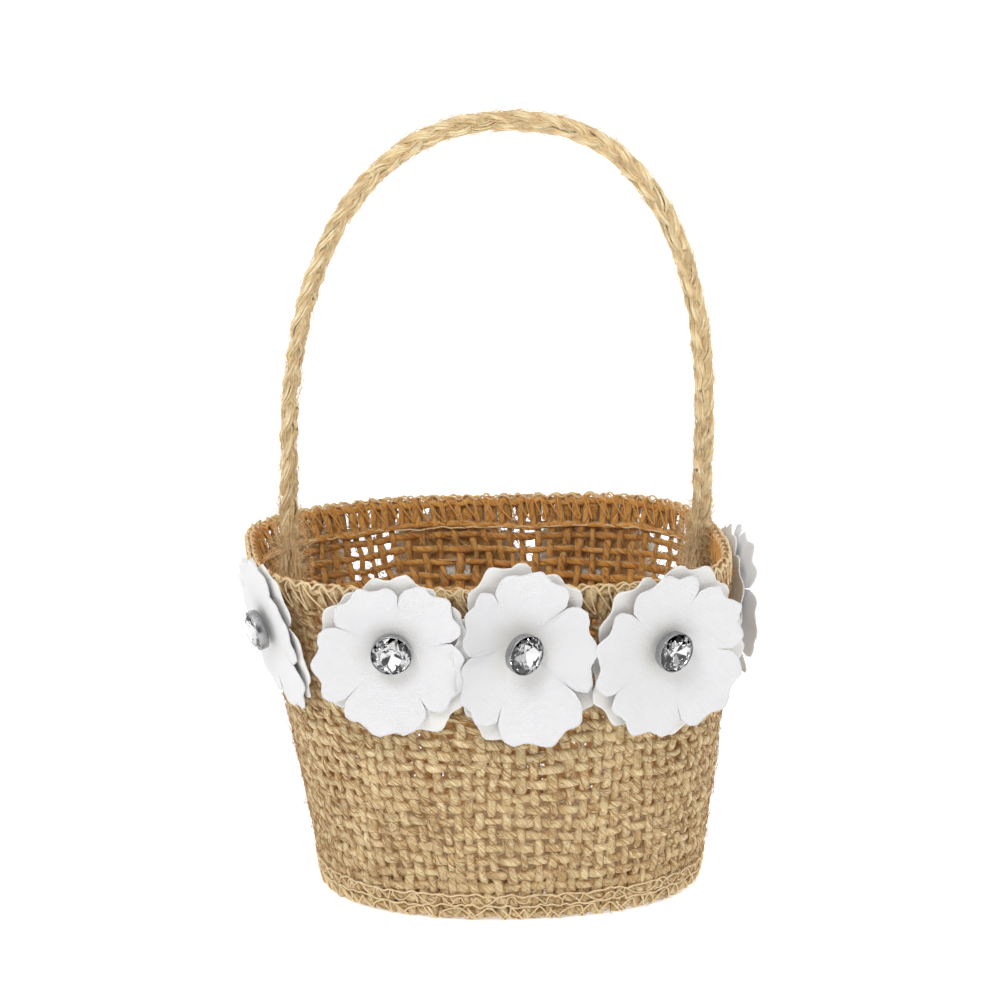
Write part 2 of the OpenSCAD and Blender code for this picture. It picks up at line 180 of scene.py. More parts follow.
def studio_world():
    """White for the eye and for soft light. Mirrors and glass see a ring of white boards with
    dark gaps between them, as in a real studio, or the stones would have nothing to show."""
    world = bpy.data.worlds.new("studio")
    bpy.context.scene.world = world
    world.use_nodes = True
    tree = world.node_tree
    ground = tree.nodes["Background"]
    direction = put(tree, "ShaderNodeTexCoord").outputs["Generated"]
    parts = put(tree, "ShaderNodeSeparateXYZ", {0: direction})
    x, y, z = (parts.outputs[axis] for axis in "XYZ")
    soft = put(tree, "ShaderNodeMapRange", {
        "Value": z, "From Min": -0.3, "From Max": 0.9, "To Min": 0.28, "To Max": 0.68}).outputs[0]
    around = maths(tree, "ARCTAN2", y, x)
    boards = maths(tree, "SINE", maths(tree, "ADD", maths(tree, "MULTIPLY", around, 7.0),
                                       maths(tree, "MULTIPLY", z, 5.0)))
    boards = ramp_between(tree, boards, 0.5, 0.6)
    overhead = ramp_between(tree, z, 0.80, 0.86)
    sparkle = maths(tree, "MAXIMUM", boards, overhead)
    mirror = put(tree, "ShaderNodeMapRange", {
        "Value": sparkle, "To Min": 0.0, "To Max": 1.7}).outputs[0]
    path = put(tree, "ShaderNodeLightPath")
    diffuse, seen = path.outputs["Is Diffuse Ray"], path.outputs["Is Camera Ray"]
    strength = maths(tree, "ADD", maths(tree, "MULTIPLY", soft, diffuse),
                     maths(tree, "MULTIPLY", mirror, maths(tree, "SUBTRACT", 1.0, diffuse)))
    strength = maths(tree, "MAXIMUM", strength, seen)
    tree.links.new(strength, ground.inputs["Strength"])
    ground.inputs["Color"].default_value = (1, 1, 1, 1)


white_sweep()
studio_world()
soft_lamp("key_lamp", (-0.45, -0.85, 0.95), (0.40, 0.40), 6.6)
soft_lamp("fill_lamp", (0.85, -0.6, 0.4), (0.6, 0.6), 0.6)
soft_lamp("back_lamp", (0.75, 0.60, 0.30), (0.5, 0.5), 3.4)
bpy.context.scene.view_settings.view_transform = "Standard"
print("studio: paper sweep, world and", len(bpy.data.lights), "lamps")

# %% [markdown]
# ## Tools for yarn
# Nearly everything here is a yarn, a thread or a fibre. Each is a tube swept along a line
# of points. A curve object could do that, but a mesh made with numpy is quick for tens of
# thousands of them, and its section can be flattened against the cloth and swell and thin
# along its length, as spun jute does.

# %% Smooth wandering values
rng = np.random.default_rng(17)           # chance comes from a seed, so that a rerun is the same


def unit(v):
    return v / np.maximum(np.linalg.norm(v, axis=-1, keepdims=True), 1e-9)


def spline_between(f, a, b, c, d):
    """A smooth curve (a B-spline): the point f of the way from b to c, drawn also to a and d."""
    return ((1 - f) ** 3 * a + (3 * f**3 - 6 * f**2 + 4) * b
            + (-3 * f**3 + 3 * f**2 + 3 * f + 1) * c + f**3 * d) / 6


def wander(knots, share, rows=None):
    """Smooth random values, about -1 to 1, that close on themselves. share runs from 0 to 1."""
    share = np.asarray(share, float)
    count = 1 if rows is None else rows
    values = rng.uniform(-1.5, 1.5, (count, knots))
    x = (share % 1.0) * knots
    i = np.floor(x).astype(int)
    f = x - i
    curve = spline_between(f, *(values[:, (i + k) % knots] for k in range(4)))
    return curve if rows is not None else curve[0]


# %% Meshes from arrays
def make_piece(name, points, quads, material, values=None):
    """A mesh object from points in millimetres and four-sided faces. It rides on the basket."""
    mesh = bpy.data.meshes.new(name)
    mesh.vertices.add(len(points))
    placed = ((np.asarray(points) + CENTRING) * MM).astype(np.float32)
    mesh.vertices.foreach_set("co", placed.ravel())
    quads = np.asarray(quads, np.int32)
    mesh.loops.add(quads.size)
    mesh.loops.foreach_set("vertex_index", quads.ravel())
    mesh.polygons.add(len(quads))
    mesh.polygons.foreach_set("loop_start", np.arange(len(quads), dtype=np.int32) * 4)
    mesh.polygons.foreach_set("use_smooth", np.full(len(quads), True))
    mesh.update(calc_edges=True)
    for key, data in (values or {}).items():
        kind = "FLOAT_VECTOR" if data.ndim == 2 else "FLOAT"
        layer = mesh.attributes.new(key, kind, "POINT")
        layer.data.foreach_set("vector" if data.ndim == 2 else "value", data.astype(np.float32).ravel())
    return as_piece(bpy.data.objects.new(name, mesh), material)


def as_piece(obj, material):
    if obj.name not in bpy.context.scene.collection.objects:
        bpy.context.scene.collection.objects.link(obj)
    if material is not None:
        obj.data.materials.append(material)
    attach(obj, "root")
    return obj


class Skein:
    """Collects tubes and makes one mesh of them."""

    def __init__(self):
        self.points, self.quads, self.space, self.tone, self.painted_inner_shade = [], [], [], [], []
        self.count = 0

    def add(self, lines, width, depth=None, deep=None, sides=6, closed=False, twist=0.9,
            ridges=0.0, inside=0.0):
        """lines is many lines of points, (lines, steps, 3). width and depth are half sizes of
        the section, across the line and along "deep", which is the way the section faces.
        inside is 1 where deep points out of the bag, to mark the side that faces into it, or without
        deep, for a line that lies wholly inside. That side gets a painted shade: an amber tint that
        stands in for the light that comes through the jute."""
        lines = np.asarray(lines, float)
        if lines.ndim == 2:
            lines = lines[None]
            deep = None if deep is None else np.asarray(deep)[None]
        n, steps, _ = lines.shape
        if closed:
            ahead = np.roll(lines, -1, 1) - np.roll(lines, 1, 1)
        else:
            ahead = np.gradient(lines, axis=1)
        ahead = unit(ahead)
        faced = deep is not None
        if not faced:
            mean = unit(ahead.mean(1, keepdims=True))
            helper = np.where(np.abs(mean[..., 2:3]) < 0.7, [[[0, 0, 1.0]]], [[[0.6, 0.8, 0]]])
            deep = np.broadcast_to(helper, lines.shape)
        deep = unit(deep - ahead * (deep * ahead).sum(-1, keepdims=True))
        across = np.cross(deep, ahead)
        width = np.broadcast_to(np.asarray(width, float), (n, steps))
        depth = width if depth is None else np.broadcast_to(np.asarray(depth, float), (n, steps))
        length = np.zeros((n, steps))
        length[:, 1:] = np.cumsum(np.linalg.norm(np.diff(lines, axis=1), axis=-1), 1)
        angle = 2 * np.pi * np.arange(sides) / sides
        turned = angle - twist * length[..., None]
        swell = 1 + ridges * np.cos(2 * turned + 3 * np.sin(0.7 * length[..., None]))
        c, s = np.cos(angle) * swell, np.sin(angle) * swell
        ring = (lines[:, :, None] + across[:, :, None] * (width[..., None] * c)[..., None]
                + deep[:, :, None] * (depth[..., None] * s)[..., None])
        tone = rng.uniform(0, 1, n)                  # how dark this line is among the others
        offset = (tone * 997.0)[:, None, None]
        space = np.stack([
            np.broadcast_to(length[..., None] + offset, ring.shape[:3]),
            width[..., None] * np.cos(turned) + offset, width[..., None] * np.sin(turned),
        ], -1)
        i = np.arange(steps if closed else steps - 1)
        j = np.arange(sides)
        a = i[:, None] * sides + j
        b = i[:, None] * sides + (j + 1) % sides
        up_row = ((i + 1) % steps)[:, None] * sides
        faces = np.stack([a, b, up_row + (j + 1) % sides, up_row + j], -1).reshape(-1, 4)
        if not closed:
            fan = [(0, k, k + 1, k + 2) for k in range(1, sides - 2, 2)]
            first = np.array([f[::-1] for f in fan])
            last = np.array(fan) + (steps - 1) * sides
            faces = np.concatenate([faces, first, last])
        per = steps * sides
        starts = self.count + np.arange(n) * per
        self.quads.append((faces[None] + starts[:, None, None]).reshape(-1, 4))
        self.points.append(ring.reshape(-1, 3))
        self.space.append(space.reshape(-1, 3))
        self.tone.append(np.repeat(tone, per))
        painted_inner_shade = (np.clip(0.35 - 1.3 * np.sin(angle), 0, 1) if faced else 1.0) * inside
        self.painted_inner_shade.append(np.broadcast_to(painted_inner_shade, (n, steps, sides)).ravel())
        self.count += n * per
        return self

    def piece(self, name, material, slot, *nodes):
        values = {"yarn_space": np.concatenate(self.space), "yarn_tone": np.concatenate(self.tone),
                  "painted_inner_shade": np.concatenate(self.painted_inner_shade)}
        quads = np.concatenate(self.quads)
        obj = make_piece(name, np.concatenate(self.points), quads, material, values)
        if nodes:
            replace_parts(obj, *nodes)
        print(f"{name}: {len(quads)} faces")
        return obj


# %% [markdown]
# ## The cloth of the bag as a map
# The wall is described once, by how far round it we are (a turn from 0 to 1) and how high.
# The outline is a squared oval that widens upwards and leans to one side. Turns are measured
# along the cloth, so that yarns keep even distances round the corners.

# %% Outline of the bag
BASE_LEFT, BASE_RIGHT = LEAN / 2 - BASE_A, LEAN / 2 + BASE_A
MOUTH_LEFT, MOUTH_RIGHT = -LEAN / 2 - MOUTH_A, -LEAN / 2 + MOUTH_A


def mix(a, b, k):
    return a + (b - a) * k


def outline(bearing, u, inset=0.0):
    """Point of the outer face. bearing is in radians, u is 0 at the table and 1 at the rim."""
    v = np.clip(u, 0, 1)
    left = mix(BASE_LEFT, MOUTH_LEFT, 0.87 * v + 0.13 * v**4)
    right_side = mix(BASE_RIGHT, MOUTH_RIGHT, v**0.6)
    depth = mix(BASE_B, MOUTH_B, v**0.75)
    a, b = (right_side - left) / 2 - inset, depth - inset
    c, s = np.cos(bearing), np.sin(bearing)
    square = mix(BASE_SQUARE, MOUTH_SQUARE + 2 * MOUTH_SKEW * np.maximum(s, 0) * c, v)
    r = ((np.abs(c) / a) ** square + (np.abs(s) / b) ** square) ** (-1 / square)
    x, y, z = np.broadcast_arrays((left + right_side) / 2 + r * c, r * s, EDGE + u * WALL_H)
    return np.stack([x, y, z], -1)


TABLE_U = np.linspace(0, 1, 41)
TABLE_TURNS = np.linspace(0, 1, 361)


def bearing_table():
    rows = []
    fine = np.linspace(0, 2 * np.pi, 1441)
    for u in TABLE_U:
        steps = np.linalg.norm(np.diff(outline(fine, u), axis=0), axis=1)
        walked = np.concatenate([[0], np.cumsum(steps)])
        rows.append(np.interp(TABLE_TURNS, walked / walked[-1], fine))
    return np.array(rows)


BEARINGS = bearing_table()


def bearing_at(turn, u):
    turn, u = np.broadcast_arrays(np.asarray(turn, float), np.asarray(u, float))
    whole = np.floor(turn)
    x = (turn - whole) * (len(TABLE_TURNS) - 1)
    y = np.clip(u, 0, 1) * (len(TABLE_U) - 1)
    i = np.minimum(x.astype(int), len(TABLE_TURNS) - 2)
    j = np.minimum(y.astype(int), len(TABLE_U) - 2)
    f, g = x - i, y - j
    low = mix(BEARINGS[j, i], BEARINGS[j, i + 1], f)
    high = mix(BEARINGS[j + 1, i], BEARINGS[j + 1, i + 1], f)
    return mix(low, high, g) + 2 * np.pi * whole


def turn_at(bearing, u):
    """The other way round: the turn that lies on a bearing."""
    row = BEARINGS[int(round(u * (len(TABLE_U) - 1)))]
    return float(np.interp(bearing, row, TABLE_TURNS))


# %% Soft dents, and the frame of the cloth at a point
def dent(turn, u):
    """Small bulges and hollows of a hand-sewn bag, in millimetres, none at the table."""
    a = 2 * np.pi * turn
    return 0.35 * np.clip(u * 3, 0, 1) * (np.sin(3 * a + 4 * u + 0.6) + 0.7 * np.sin(7 * a - 5 * u))


def mid_cloth(turn, u):
    bearing = bearing_at(turn, u)
    return outline(bearing, u, CLOTH_T / 2 - dent(np.asarray(turn), np.asarray(u)))


def on_cloth(turn, z, out=0.0):
    """Point "out" millimetres outside the middle of the cloth, and the way the cloth faces."""
    turn, z, out = np.broadcast_arrays(
        np.asarray(turn, float), np.asarray(z, float), np.asarray(out, float))
    u = (z - EDGE) / WALL_H
    here = mid_cloth(turn, u)
    along = mid_cloth(turn + 0.001, u) - mid_cloth(turn - 0.001, u)
    rise = mid_cloth(turn, u + 0.01) - mid_cloth(turn, u - 0.01)
    facing = unit(np.cross(along, rise))
    return here + facing * out[..., None], facing


round_mouth = np.linalg.norm(np.diff(on_cloth(np.linspace(0, 1, 721), RIM_Z)[0], axis=0), axis=1).sum()
round_base = np.linalg.norm(np.diff(on_cloth(np.linspace(0, 1, 721), EDGE)[0], axis=0), axis=1).sum()
print(f"cloth is {round_mouth:.0f} mm round the mouth and {round_base:.0f} mm round the base")

# %% [markdown]
# ## Finishes
# Jute is a pale gold fibre with long darker streaks. An image of it would smear on thin
# tubes, so the streaks are noise, drawn out along the yarn. Every yarn, thread and hair uses
# one group, "fibre streaks", with its own colours. The group reads the yarn's straight
# length, stored on the mesh, so the streaks follow the yarn round each bend and twist.
# The same group paints shade on the side of a yarn that faces into the bag: an amber tint that stands
# in for the light that comes through the jute.

# %% Node group: fibre streaks
def group_of(name, inputs, outputs):
    tree = bpy.data.node_groups.new(name, "ShaderNodeTree")
    for label, kind, value in inputs:
        socket = tree.interface.new_socket(label, in_out="INPUT", socket_type=kind)
        socket.default_value = value
    for label, kind in outputs:
        tree.interface.new_socket(label, in_out="OUTPUT", socket_type=kind)
    return tree, tree.nodes.new("NodeGroupInput"), tree.nodes.new("NodeGroupOutput")


COLOUR, NUMBER = "NodeSocketColor", "NodeSocketFloat"


def fibre_streaks_group():
    tree, given, result = group_of(
        "fibre_streaks",
        [("Pale", COLOUR, (0.8, 0.6, 0.4, 1)), ("Deep", COLOUR, (0.4, 0.25, 0.1, 1)),
         ("Fineness", NUMBER, 5.0), ("Yarn difference", NUMBER, 0.3), ("Patches", NUMBER, 0.3),
         ("Inner painted shade", COLOUR, (1, 1, 1, 1))],
        [("Color", COLOUR), ("Height", NUMBER), ("Roughness", NUMBER)],
    )
    space = put(tree, "ShaderNodeAttribute", attribute_name="yarn_space").outputs["Vector"]
    tone = put(tree, "ShaderNodeAttribute", attribute_name="yarn_tone").outputs["Fac"]
    drawn = put(tree, "ShaderNodeVectorMath", {0: space, 1: (0.09, 1, 1)}, operation="MULTIPLY")
    streak = put(tree, "ShaderNodeTexNoise", {
        "Vector": drawn.outputs[0], "Scale": given.outputs["Fineness"], "Detail": 3.0,
        "Roughness": 0.65}).outputs["Fac"]
    sharp = ramp_between(tree, streak, 0.3, 0.7)
    slow = put(tree, "ShaderNodeVectorMath", {0: space, 1: (0.35, 0.5, 0.5)}, operation="MULTIPLY")
    patch = put(tree, "ShaderNodeTexNoise", {
        "Vector": slow.outputs[0], "Scale": 1.0, "Detail": 1.0}).outputs["Fac"]
    patch = ramp_between(tree, patch, 0.3, 0.7)
    share = maths(tree, "MULTIPLY", sharp, 0.85)
    weight = maths(tree, "MULTIPLY", given.outputs["Patches"], patch)
    share = maths(tree, "ADD", share, weight)
    weight = maths(tree, "MULTIPLY", given.outputs["Yarn difference"], tone)
    share = maths(tree, "ADD", share, weight)
    share = put(tree, "ShaderNodeClamp", {"Value": share}).outputs[0]
    colour = blend_colour(tree, share, given.outputs["Pale"], given.outputs["Deep"])
    # painted shade: the side that faces into the bag is multiplied by the amber inner colour
    painted_inner_shade = put(tree, "ShaderNodeAttribute", attribute_name="painted_inner_shade").outputs["Fac"]
    colour = blend_colour(tree, painted_inner_shade, colour, blend_colour(
        tree, 1.0, colour, given.outputs["Inner painted shade"], "MULTIPLY"))
    tree.links.new(colour, result.inputs["Color"])
    tree.links.new(maths(tree, "SUBTRACT", 1.0, sharp), result.inputs["Height"])
    rough = put(tree, "ShaderNodeMapRange", {"Value": sharp, "To Min": 0.62, "To Max": 0.95})
    tree.links.new(rough.outputs[0], result.inputs["Roughness"])
    return tree


FIBRE_STREAKS = fibre_streaks_group()
streak_inputs = [socket.name for socket in FIBRE_STREAKS.nodes["Group Input"].outputs if socket.name]
print("group", FIBRE_STREAKS.name, "with inputs", streak_inputs)


# %% Materials of jute and thread
def fibre_material(name, pale, deep, fineness, difference, patches=0.25, inner=(1, 1, 1, 1)):
    material, shader, tree = make_material(
        name, Sheen_Weight=0.15, Sheen_Roughness=0.5, Specular_IOR_Level=0.25)
    streaks = put(tree, "ShaderNodeGroup", node_tree=FIBRE_STREAKS)
    for label, value in (("Pale", pale), ("Deep", deep), ("Fineness", fineness),
                         ("Yarn difference", difference), ("Patches", patches), ("Inner painted shade", inner)):
        streaks.inputs[label].default_value = value
    relief = put(tree, "ShaderNodeBump", {
        "Height": streaks.outputs["Height"], "Strength": 0.8, "Distance": 0.0002})
    tree.links.new(streaks.outputs["Color"], shader.inputs["Base Color"])
    tree.links.new(streaks.outputs["Roughness"], shader.inputs["Roughness"])
    tree.links.new(relief.outputs[0], shader.inputs["Normal"])
    return material


# Painted shade: the side of a yarn that faces into the bag is multiplied by this amber colour.
INSIDE_PAINTED_SHADE = (0.98, 0.62, 0.27, 1)       # light reaches the inside through jute and turns amber
BURLAP = fibre_material("burlap_yarn", rgb(255, 242, 196), rgb(170, 128, 72), 2.4, 0.15, 0.2,
                        inner=INSIDE_PAINTED_SHADE)
BURLAP_FUZZ = fibre_material("burlap_fuzz", rgb(255, 248, 214), rgb(168, 124, 70), 3.0, 0.8,
                             inner=INSIDE_PAINTED_SHADE)
# The inner side of the thread also takes a painted amber shade.
SERGING = fibre_material("serging_thread", rgb(255, 240, 204), rgb(242, 208, 154), 7.0, 0.15, 0.3,
                         inner=(0.92, 0.62, 0.30, 1))
JUTE = fibre_material("plaited_jute", rgb(255, 252, 222), rgb(232, 190, 120), 3.0, 0.12, 0.1)
FRAYED = fibre_material("frayed_jute", rgb(255, 252, 226), rgb(236, 200, 142), 4.0, 0.6, 0.1)
print("fibre materials made")

# %% [markdown]
# ## The wall: warp and weft
# Burlap is a plain weave: each upright yarn (warp) goes over one crosswise yarn (weft) and
# under the next. A bump map would do for a smooth cloth, but this one is so open that you
# see through it, so every yarn is modelled. Both sets read the same slightly warped map,
# which keeps them crossing each other where they should even where the cloth is pulled.

# %% Counts and places of the yarns
WARPS = 96
YARN_PITCH = 3.2                 # from one row of weft to the next
YARN_DEPTH = 0.52                # half the thickness of a yarn, which the cloth has pressed flat
WAVE = 0.36                      # how far a yarn swings out of the middle of the cloth
row_heights = np.concatenate([1.7 + YARN_PITCH * np.arange(22), [71.6, 77.0]])   # two in the serging
ROWS = len(row_heights)
RIM_STITCHES = 84
needle_z = RIM_Z - SERGE_H
print(f"{WARPS} warp yarns and {ROWS} rows of weft, {YARN_PITCH} mm apart")


def fullness(z):
    """The yarns are fuller low down, where the cloth is drawn together, than at the mouth."""
    return mix(1.16, 0.80, np.clip((z - 48) / 18, 0, 1))


def settled(turn, z):
    """Where a point of the flat cloth ends up: the yarns are pulled about a little, and the
    serging gathers them at every stitch, which scallops the edge."""
    a = 2 * np.pi * turn
    hold = np.clip(np.minimum(z / 12, (RIM_Z - z) / 14), 0, 1)
    across = 0.30 * np.sin(5 * a + 0.05 * z) + 0.25 * np.sin(11 * a - 0.12 * z + 1)
    rise = 0.45 * np.sin(4 * a + 0.07 * z + 2) + 0.35 * np.sin(9 * a + 0.16 * z) + 0.2 * np.sin(17 * a)
    gather = np.clip((z - needle_z + 1) / SERGE_H, 0, 1)
    stitch = 2 * np.pi * (turn * RIM_STITCHES + 0.25 * np.sin(6 * a))
    pull = 0.30 * gather * np.sin(stitch) / (2 * np.pi) / RIM_STITCHES * 2
    scallop = gather**2 * (0.30 - 0.45 * np.cos(stitch))
    return turn + across * hold / WARPS + pull, z + rise * hold + scallop


# %% Weft: rings that run round the bag
def weft_lines(steps):
    turn = np.linspace(0, 1, steps, endpoint=False)[None, :]
    z = row_heights[:, None] + 0.22 * wander(60, turn[0], ROWS)
    swing = -WAVE * np.cos(np.pi * (turn * WARPS + np.arange(ROWS)[:, None]))
    place, height = settled(turn, z)
    lines, facing = on_cloth(place, height, swing)
    slub = wander(48, turn[0], ROWS) * 0.20 + wander(150, turn[0], ROWS) * 0.13
    return lines, facing, slub


lines, facing, slub = weft_lines(540)
weft_path = (lines, facing, fullness(lines[..., 2]) * (1 + slub), YARN_DEPTH * (1 + 0.6 * slub))
weft = Skein().add(lines, *weft_path[2:], facing, closed=True, ridges=0.12, twist=1.1, inside=1.0)
wall_weft = weft.piece("wall_weft_yarns", BURLAP, "wall_burlap", "wall_burlap")


# %% Warp: yarns that run from the table to the rim
def warp_lines(steps):
    z = np.linspace(EDGE + 0.1, RIM_Z - 0.15, steps)[None, :]
    turn = (np.arange(WARPS)[:, None] + 0.10 * wander(24, z[0] / 90, WARPS)) / WARPS
    row = np.interp(z, row_heights, np.arange(ROWS))
    swing = WAVE * np.cos(np.pi * (row + np.arange(WARPS)[:, None]))
    place, height = settled(turn, z)
    lines, facing = on_cloth(place, height, swing)
    slub = wander(26, z[0] / 90, WARPS) * 0.20 + wander(70, z[0] / 90, WARPS) * 0.13
    return lines, facing, slub


lines, facing, slub = warp_lines(164)
near_rim = np.clip((lines[..., 2] - 71) / 3, 0, 1)
broad = 0.94 * fullness(lines[..., 2]) * (1 + 0.75 * near_rim)
warp_path = (lines, facing, broad * (1 + slub), YARN_DEPTH * (1 + 0.6 * slub))
warp = Skein().add(lines, *warp_path[2:], facing, ridges=0.12, twist=-1.1, inside=1.0)
wall_warp = warp.piece("wall_warp_yarns", BURLAP, "wall_burlap")


# %% Hems: both edges of the cloth are folded in once before they are serged
HEM_IN = 0.98                    # from the middle of the cloth to the middle of the fold


def hem_yarns(skein, low, high, rows):
    """The folded-in edge: short ends of the warp, and rows of weft, just inside the wall."""
    z = np.linspace(low, high, 26)[None, :]
    turn = (np.arange(WARPS)[:, None] + 0.36 + 0.2 * wander(9, z[0] / 90, WARPS)) / WARPS
    place, height = settled(turn, z)
    swing = 0.12 * np.cos(np.pi * (z / 2.2 + np.arange(WARPS)[:, None]))
    lines, facing = on_cloth(place, height, swing - HEM_IN)
    thick = 0.85 * (1 + 0.3 * wander(9, z[0] / 90, WARPS))
    skein.add(lines, thick, 0.3, facing, ridges=0.1, inside=1.0)
    turn = np.linspace(0, 1, 540, endpoint=False)[None, :]
    n = len(rows)
    place, height = settled(turn, np.array(rows)[:, None] + 0.4 * wander(60, turn[0], n))
    swing = -0.12 * np.cos(np.pi * (turn * WARPS + np.arange(n)[:, None]))
    lines, facing = on_cloth(place, height, swing - HEM_IN)
    skein.add(lines, 0.75 * (1 + 0.25 * wander(90, turn[0], n)), 0.3, facing, closed=True,
              ridges=0.1, inside=1.0)
    return skein


hem = hem_yarns(Skein(), needle_z - 0.4, RIM_Z - 0.2, [71.4, 76.9])
hem = hem_yarns(hem, EDGE + 0.5, 6.6, [2.2, 5.0]).piece("hem_yarns", BURLAP, "wall_burlap")


# %% [markdown]
# ## Loose fibres
# Jute yarn is spun from coarse fibres. Many of them lie on the yarn's surface and follow its
# twist, so a few thousand thin tubes are wound along the yarns. It also sheds short hairs in
# every direction. They soften the squares between the yarns and give the outline its fuzz.
# Blender's hair would do as well, but thin tubes are also there in the exported meshes.

# %% Hairs
HAIR_STEPS = 6


def curl_paths(starts, ways, lengths, curl, steps=HAIR_STEPS):
    """Many hairs: each sets off along its way and turns a little more at every step."""
    n = len(starts)
    points = np.zeros((n, steps, 3))
    points[:, 0] = starts
    way = unit(ways)
    bend = rng.normal(0, 1, (n, 3))
    stride = (lengths / (steps - 1))[:, None]
    for i in range(1, steps):
        bend = 0.75 * bend + 0.66 * rng.normal(0, 1, (n, 3))
        way = unit(way + curl * bend)
        points[:, i] = points[:, i - 1] + way * stride
    return points


def taper(radius, steps=HAIR_STEPS):
    """A radius at every step of every hair. The tip is less than half as thick as the root."""
    return radius[:, None] * np.linspace(1, 0.45, steps)[None, :]


def wound_fibres(path, count, turning):
    """Fibres that follow a yarn for a few millimetres and lift off it a little at the ends."""
    lines, facing, width, depth = path
    n, steps, _ = lines.shape
    yarn = rng.integers(0, n, count)[:, None]
    first = rng.integers(0, steps - 2 * HAIR_STEPS + 1, count)[:, None]
    at = (first + 2 * np.arange(HAIR_STEPS)) % steps
    here, out = lines[yarn, at], facing[yarn, at]
    ahead = unit(np.gradient(here, axis=1))
    across = np.cross(out, ahead)
    share = np.linspace(0, 1, HAIR_STEPS)
    angle = (rng.uniform(0, 2 * np.pi, count)[:, None] + turning * rng.uniform(0.2, 1, count)[:, None]
             * share * 5 + 0.5 * wander(3, share * 0.9, count))
    lift = 1.06 + rng.uniform(0, 0.6, count)[:, None] * np.abs(2 * share - 1) ** 2
    points = (here + across * (width[yarn, at] * lift * np.cos(angle))[..., None]
              + out * (depth[yarn, at] * lift * np.sin(angle) + 0.02)[..., None])
    return points, out


def cloth_hairs(count, reach, z_low, z_high, out, lift):
    """Hairs on both faces. They keep close to the cloth, and none goes under the table."""
    turn, z = rng.uniform(0, 1, count), rng.uniform(z_low, z_high, count)
    side = rng.choice([-1.0, 1.0], count, p=[0.4, 0.6])
    starts, facing = on_cloth(turn, z, side * out)
    along = unit(on_cloth(turn + 0.002, z)[0] - starts)
    rise = np.cross(facing, along)
    angle = rng.uniform(0, 2 * np.pi, count)
    ways = (along * np.cos(angle)[:, None] + rise * np.sin(angle)[:, None]
            + facing * (side * rng.uniform(0, lift, count))[:, None])
    paths = curl_paths(starts, ways, rng.uniform(0.3, 1, count) ** 1.5 * reach, 0.3)
    off = ((paths - starts[:, None]) * facing[:, None]).sum(-1, keepdims=True)
    paths = paths - 0.75 * off * facing[:, None]
    paths[..., 2] = np.maximum(paths[..., 2], 0.15)
    return paths


# %% Fibres wound on the yarns
WOUND = 4500
for name, path, turning in (("weft", weft_path, 1.0), ("warp", warp_path, -1.0)):
    points, out = wound_fibres(path, WOUND, turning)
    radius = rng.uniform(0.06, 0.14, WOUND)
    fibres = Skein().add(points, taper(radius), deep=out, sides=4, inside=1.0)
    fibres.piece(f"wall_{name}_fibres", BURLAP_FUZZ, "wall_burlap")


# %% Hairs of the cloth
# Name, thinnest and thickest radius, how much they take the painted inner shade, and patches of hair.
# A patch is: how many, how long, from which height up to which, how far from the middle of
# the cloth they start, and how far they lift off it.
CLOTH_HAIRS = [
    ("short", 0.05, 0.10, 0.0, [(4500, 7.0, 2, 77, 0.80, 0.04)]),
    ("surface", 0.06, 0.12, 0.0, [(4500, 6.0, 2, 76, 0.94, 0.02)]),
    ("inner", 0.06, 0.12, 0.8, [(3000, 6.0, 30, 77, 0.3, 0.0), (1400, 5.0, 70, 77.4, 1.0, 0.1)]),
    ("long", 0.04, 0.07, 0.0, [(130, 15.0, 4, 76, 0.85, 0.3)]),
]
for name, thin, thick, inside, patches in CLOTH_HAIRS:
    paths = np.concatenate([cloth_hairs(*patch) for patch in patches])
    hairs = Skein().add(paths, taper(rng.uniform(thin, thick, len(paths))), sides=4, inside=inside)
    hairs.piece(f"wall_{name}_fibres", BURLAP_FUZZ, "wall_burlap")

# %% [markdown]
# ## Sewn edges
# Both edges are serged: an overlock machine sews three threads at once. The needle thread
# runs along the cloth, and two looper threads zigzag over the faces and lock at the edge.
# Each thread is a smooth curve through a few points per stitch, written in the cloth's own
# terms: how far round, how high, how far out.

# %% Smooth thread through control points
def smooth_closed(points, per_step):
    """A closed B-spline through the neighbourhood of its control points, (controls, 3)."""
    n = len(points)
    x = np.arange(n * per_step) / per_step
    i = np.floor(x).astype(int)
    f = (x - i)[:, None]
    return spline_between(f, *(points[(i + k) % n] for k in range(-1, 3)))


def stitched_thread(count, controls, jitter=(0.15, 0.30, 0.06), per_step=4):
    """controls is a list of (share of a stitch, height, out). They repeat at every stitch, and
    jitter says how far each of the three may stray, as a hand-fed machine makes them."""
    rows = []
    drift = wander(count // 4, np.arange(count) / count) * jitter[0] * 1.5
    for k in range(count):
        shift = rng.uniform(-1, 1) * jitter[0] + drift[k]
        for share, z, out in controls:
            rows.append((
                (k + share + shift + rng.uniform(-1, 1) * jitter[0] * 0.5) / count,
                z + rng.uniform(-1, 1) * jitter[1], out + rng.uniform(-1, 1) * jitter[2]))
    rows = np.array(rows)
    return smooth_closed(on_cloth(rows[:, 0], rows[:, 1], rows[:, 2])[0], per_step)


def sew(skein, path, radius, closed=True, inside=0.0):
    """Lay a sewing thread, which is spun harder and rounder than the yarns."""
    return skein.add(path, radius, closed=closed, twist=2.0, ridges=0.08, inside=inside)


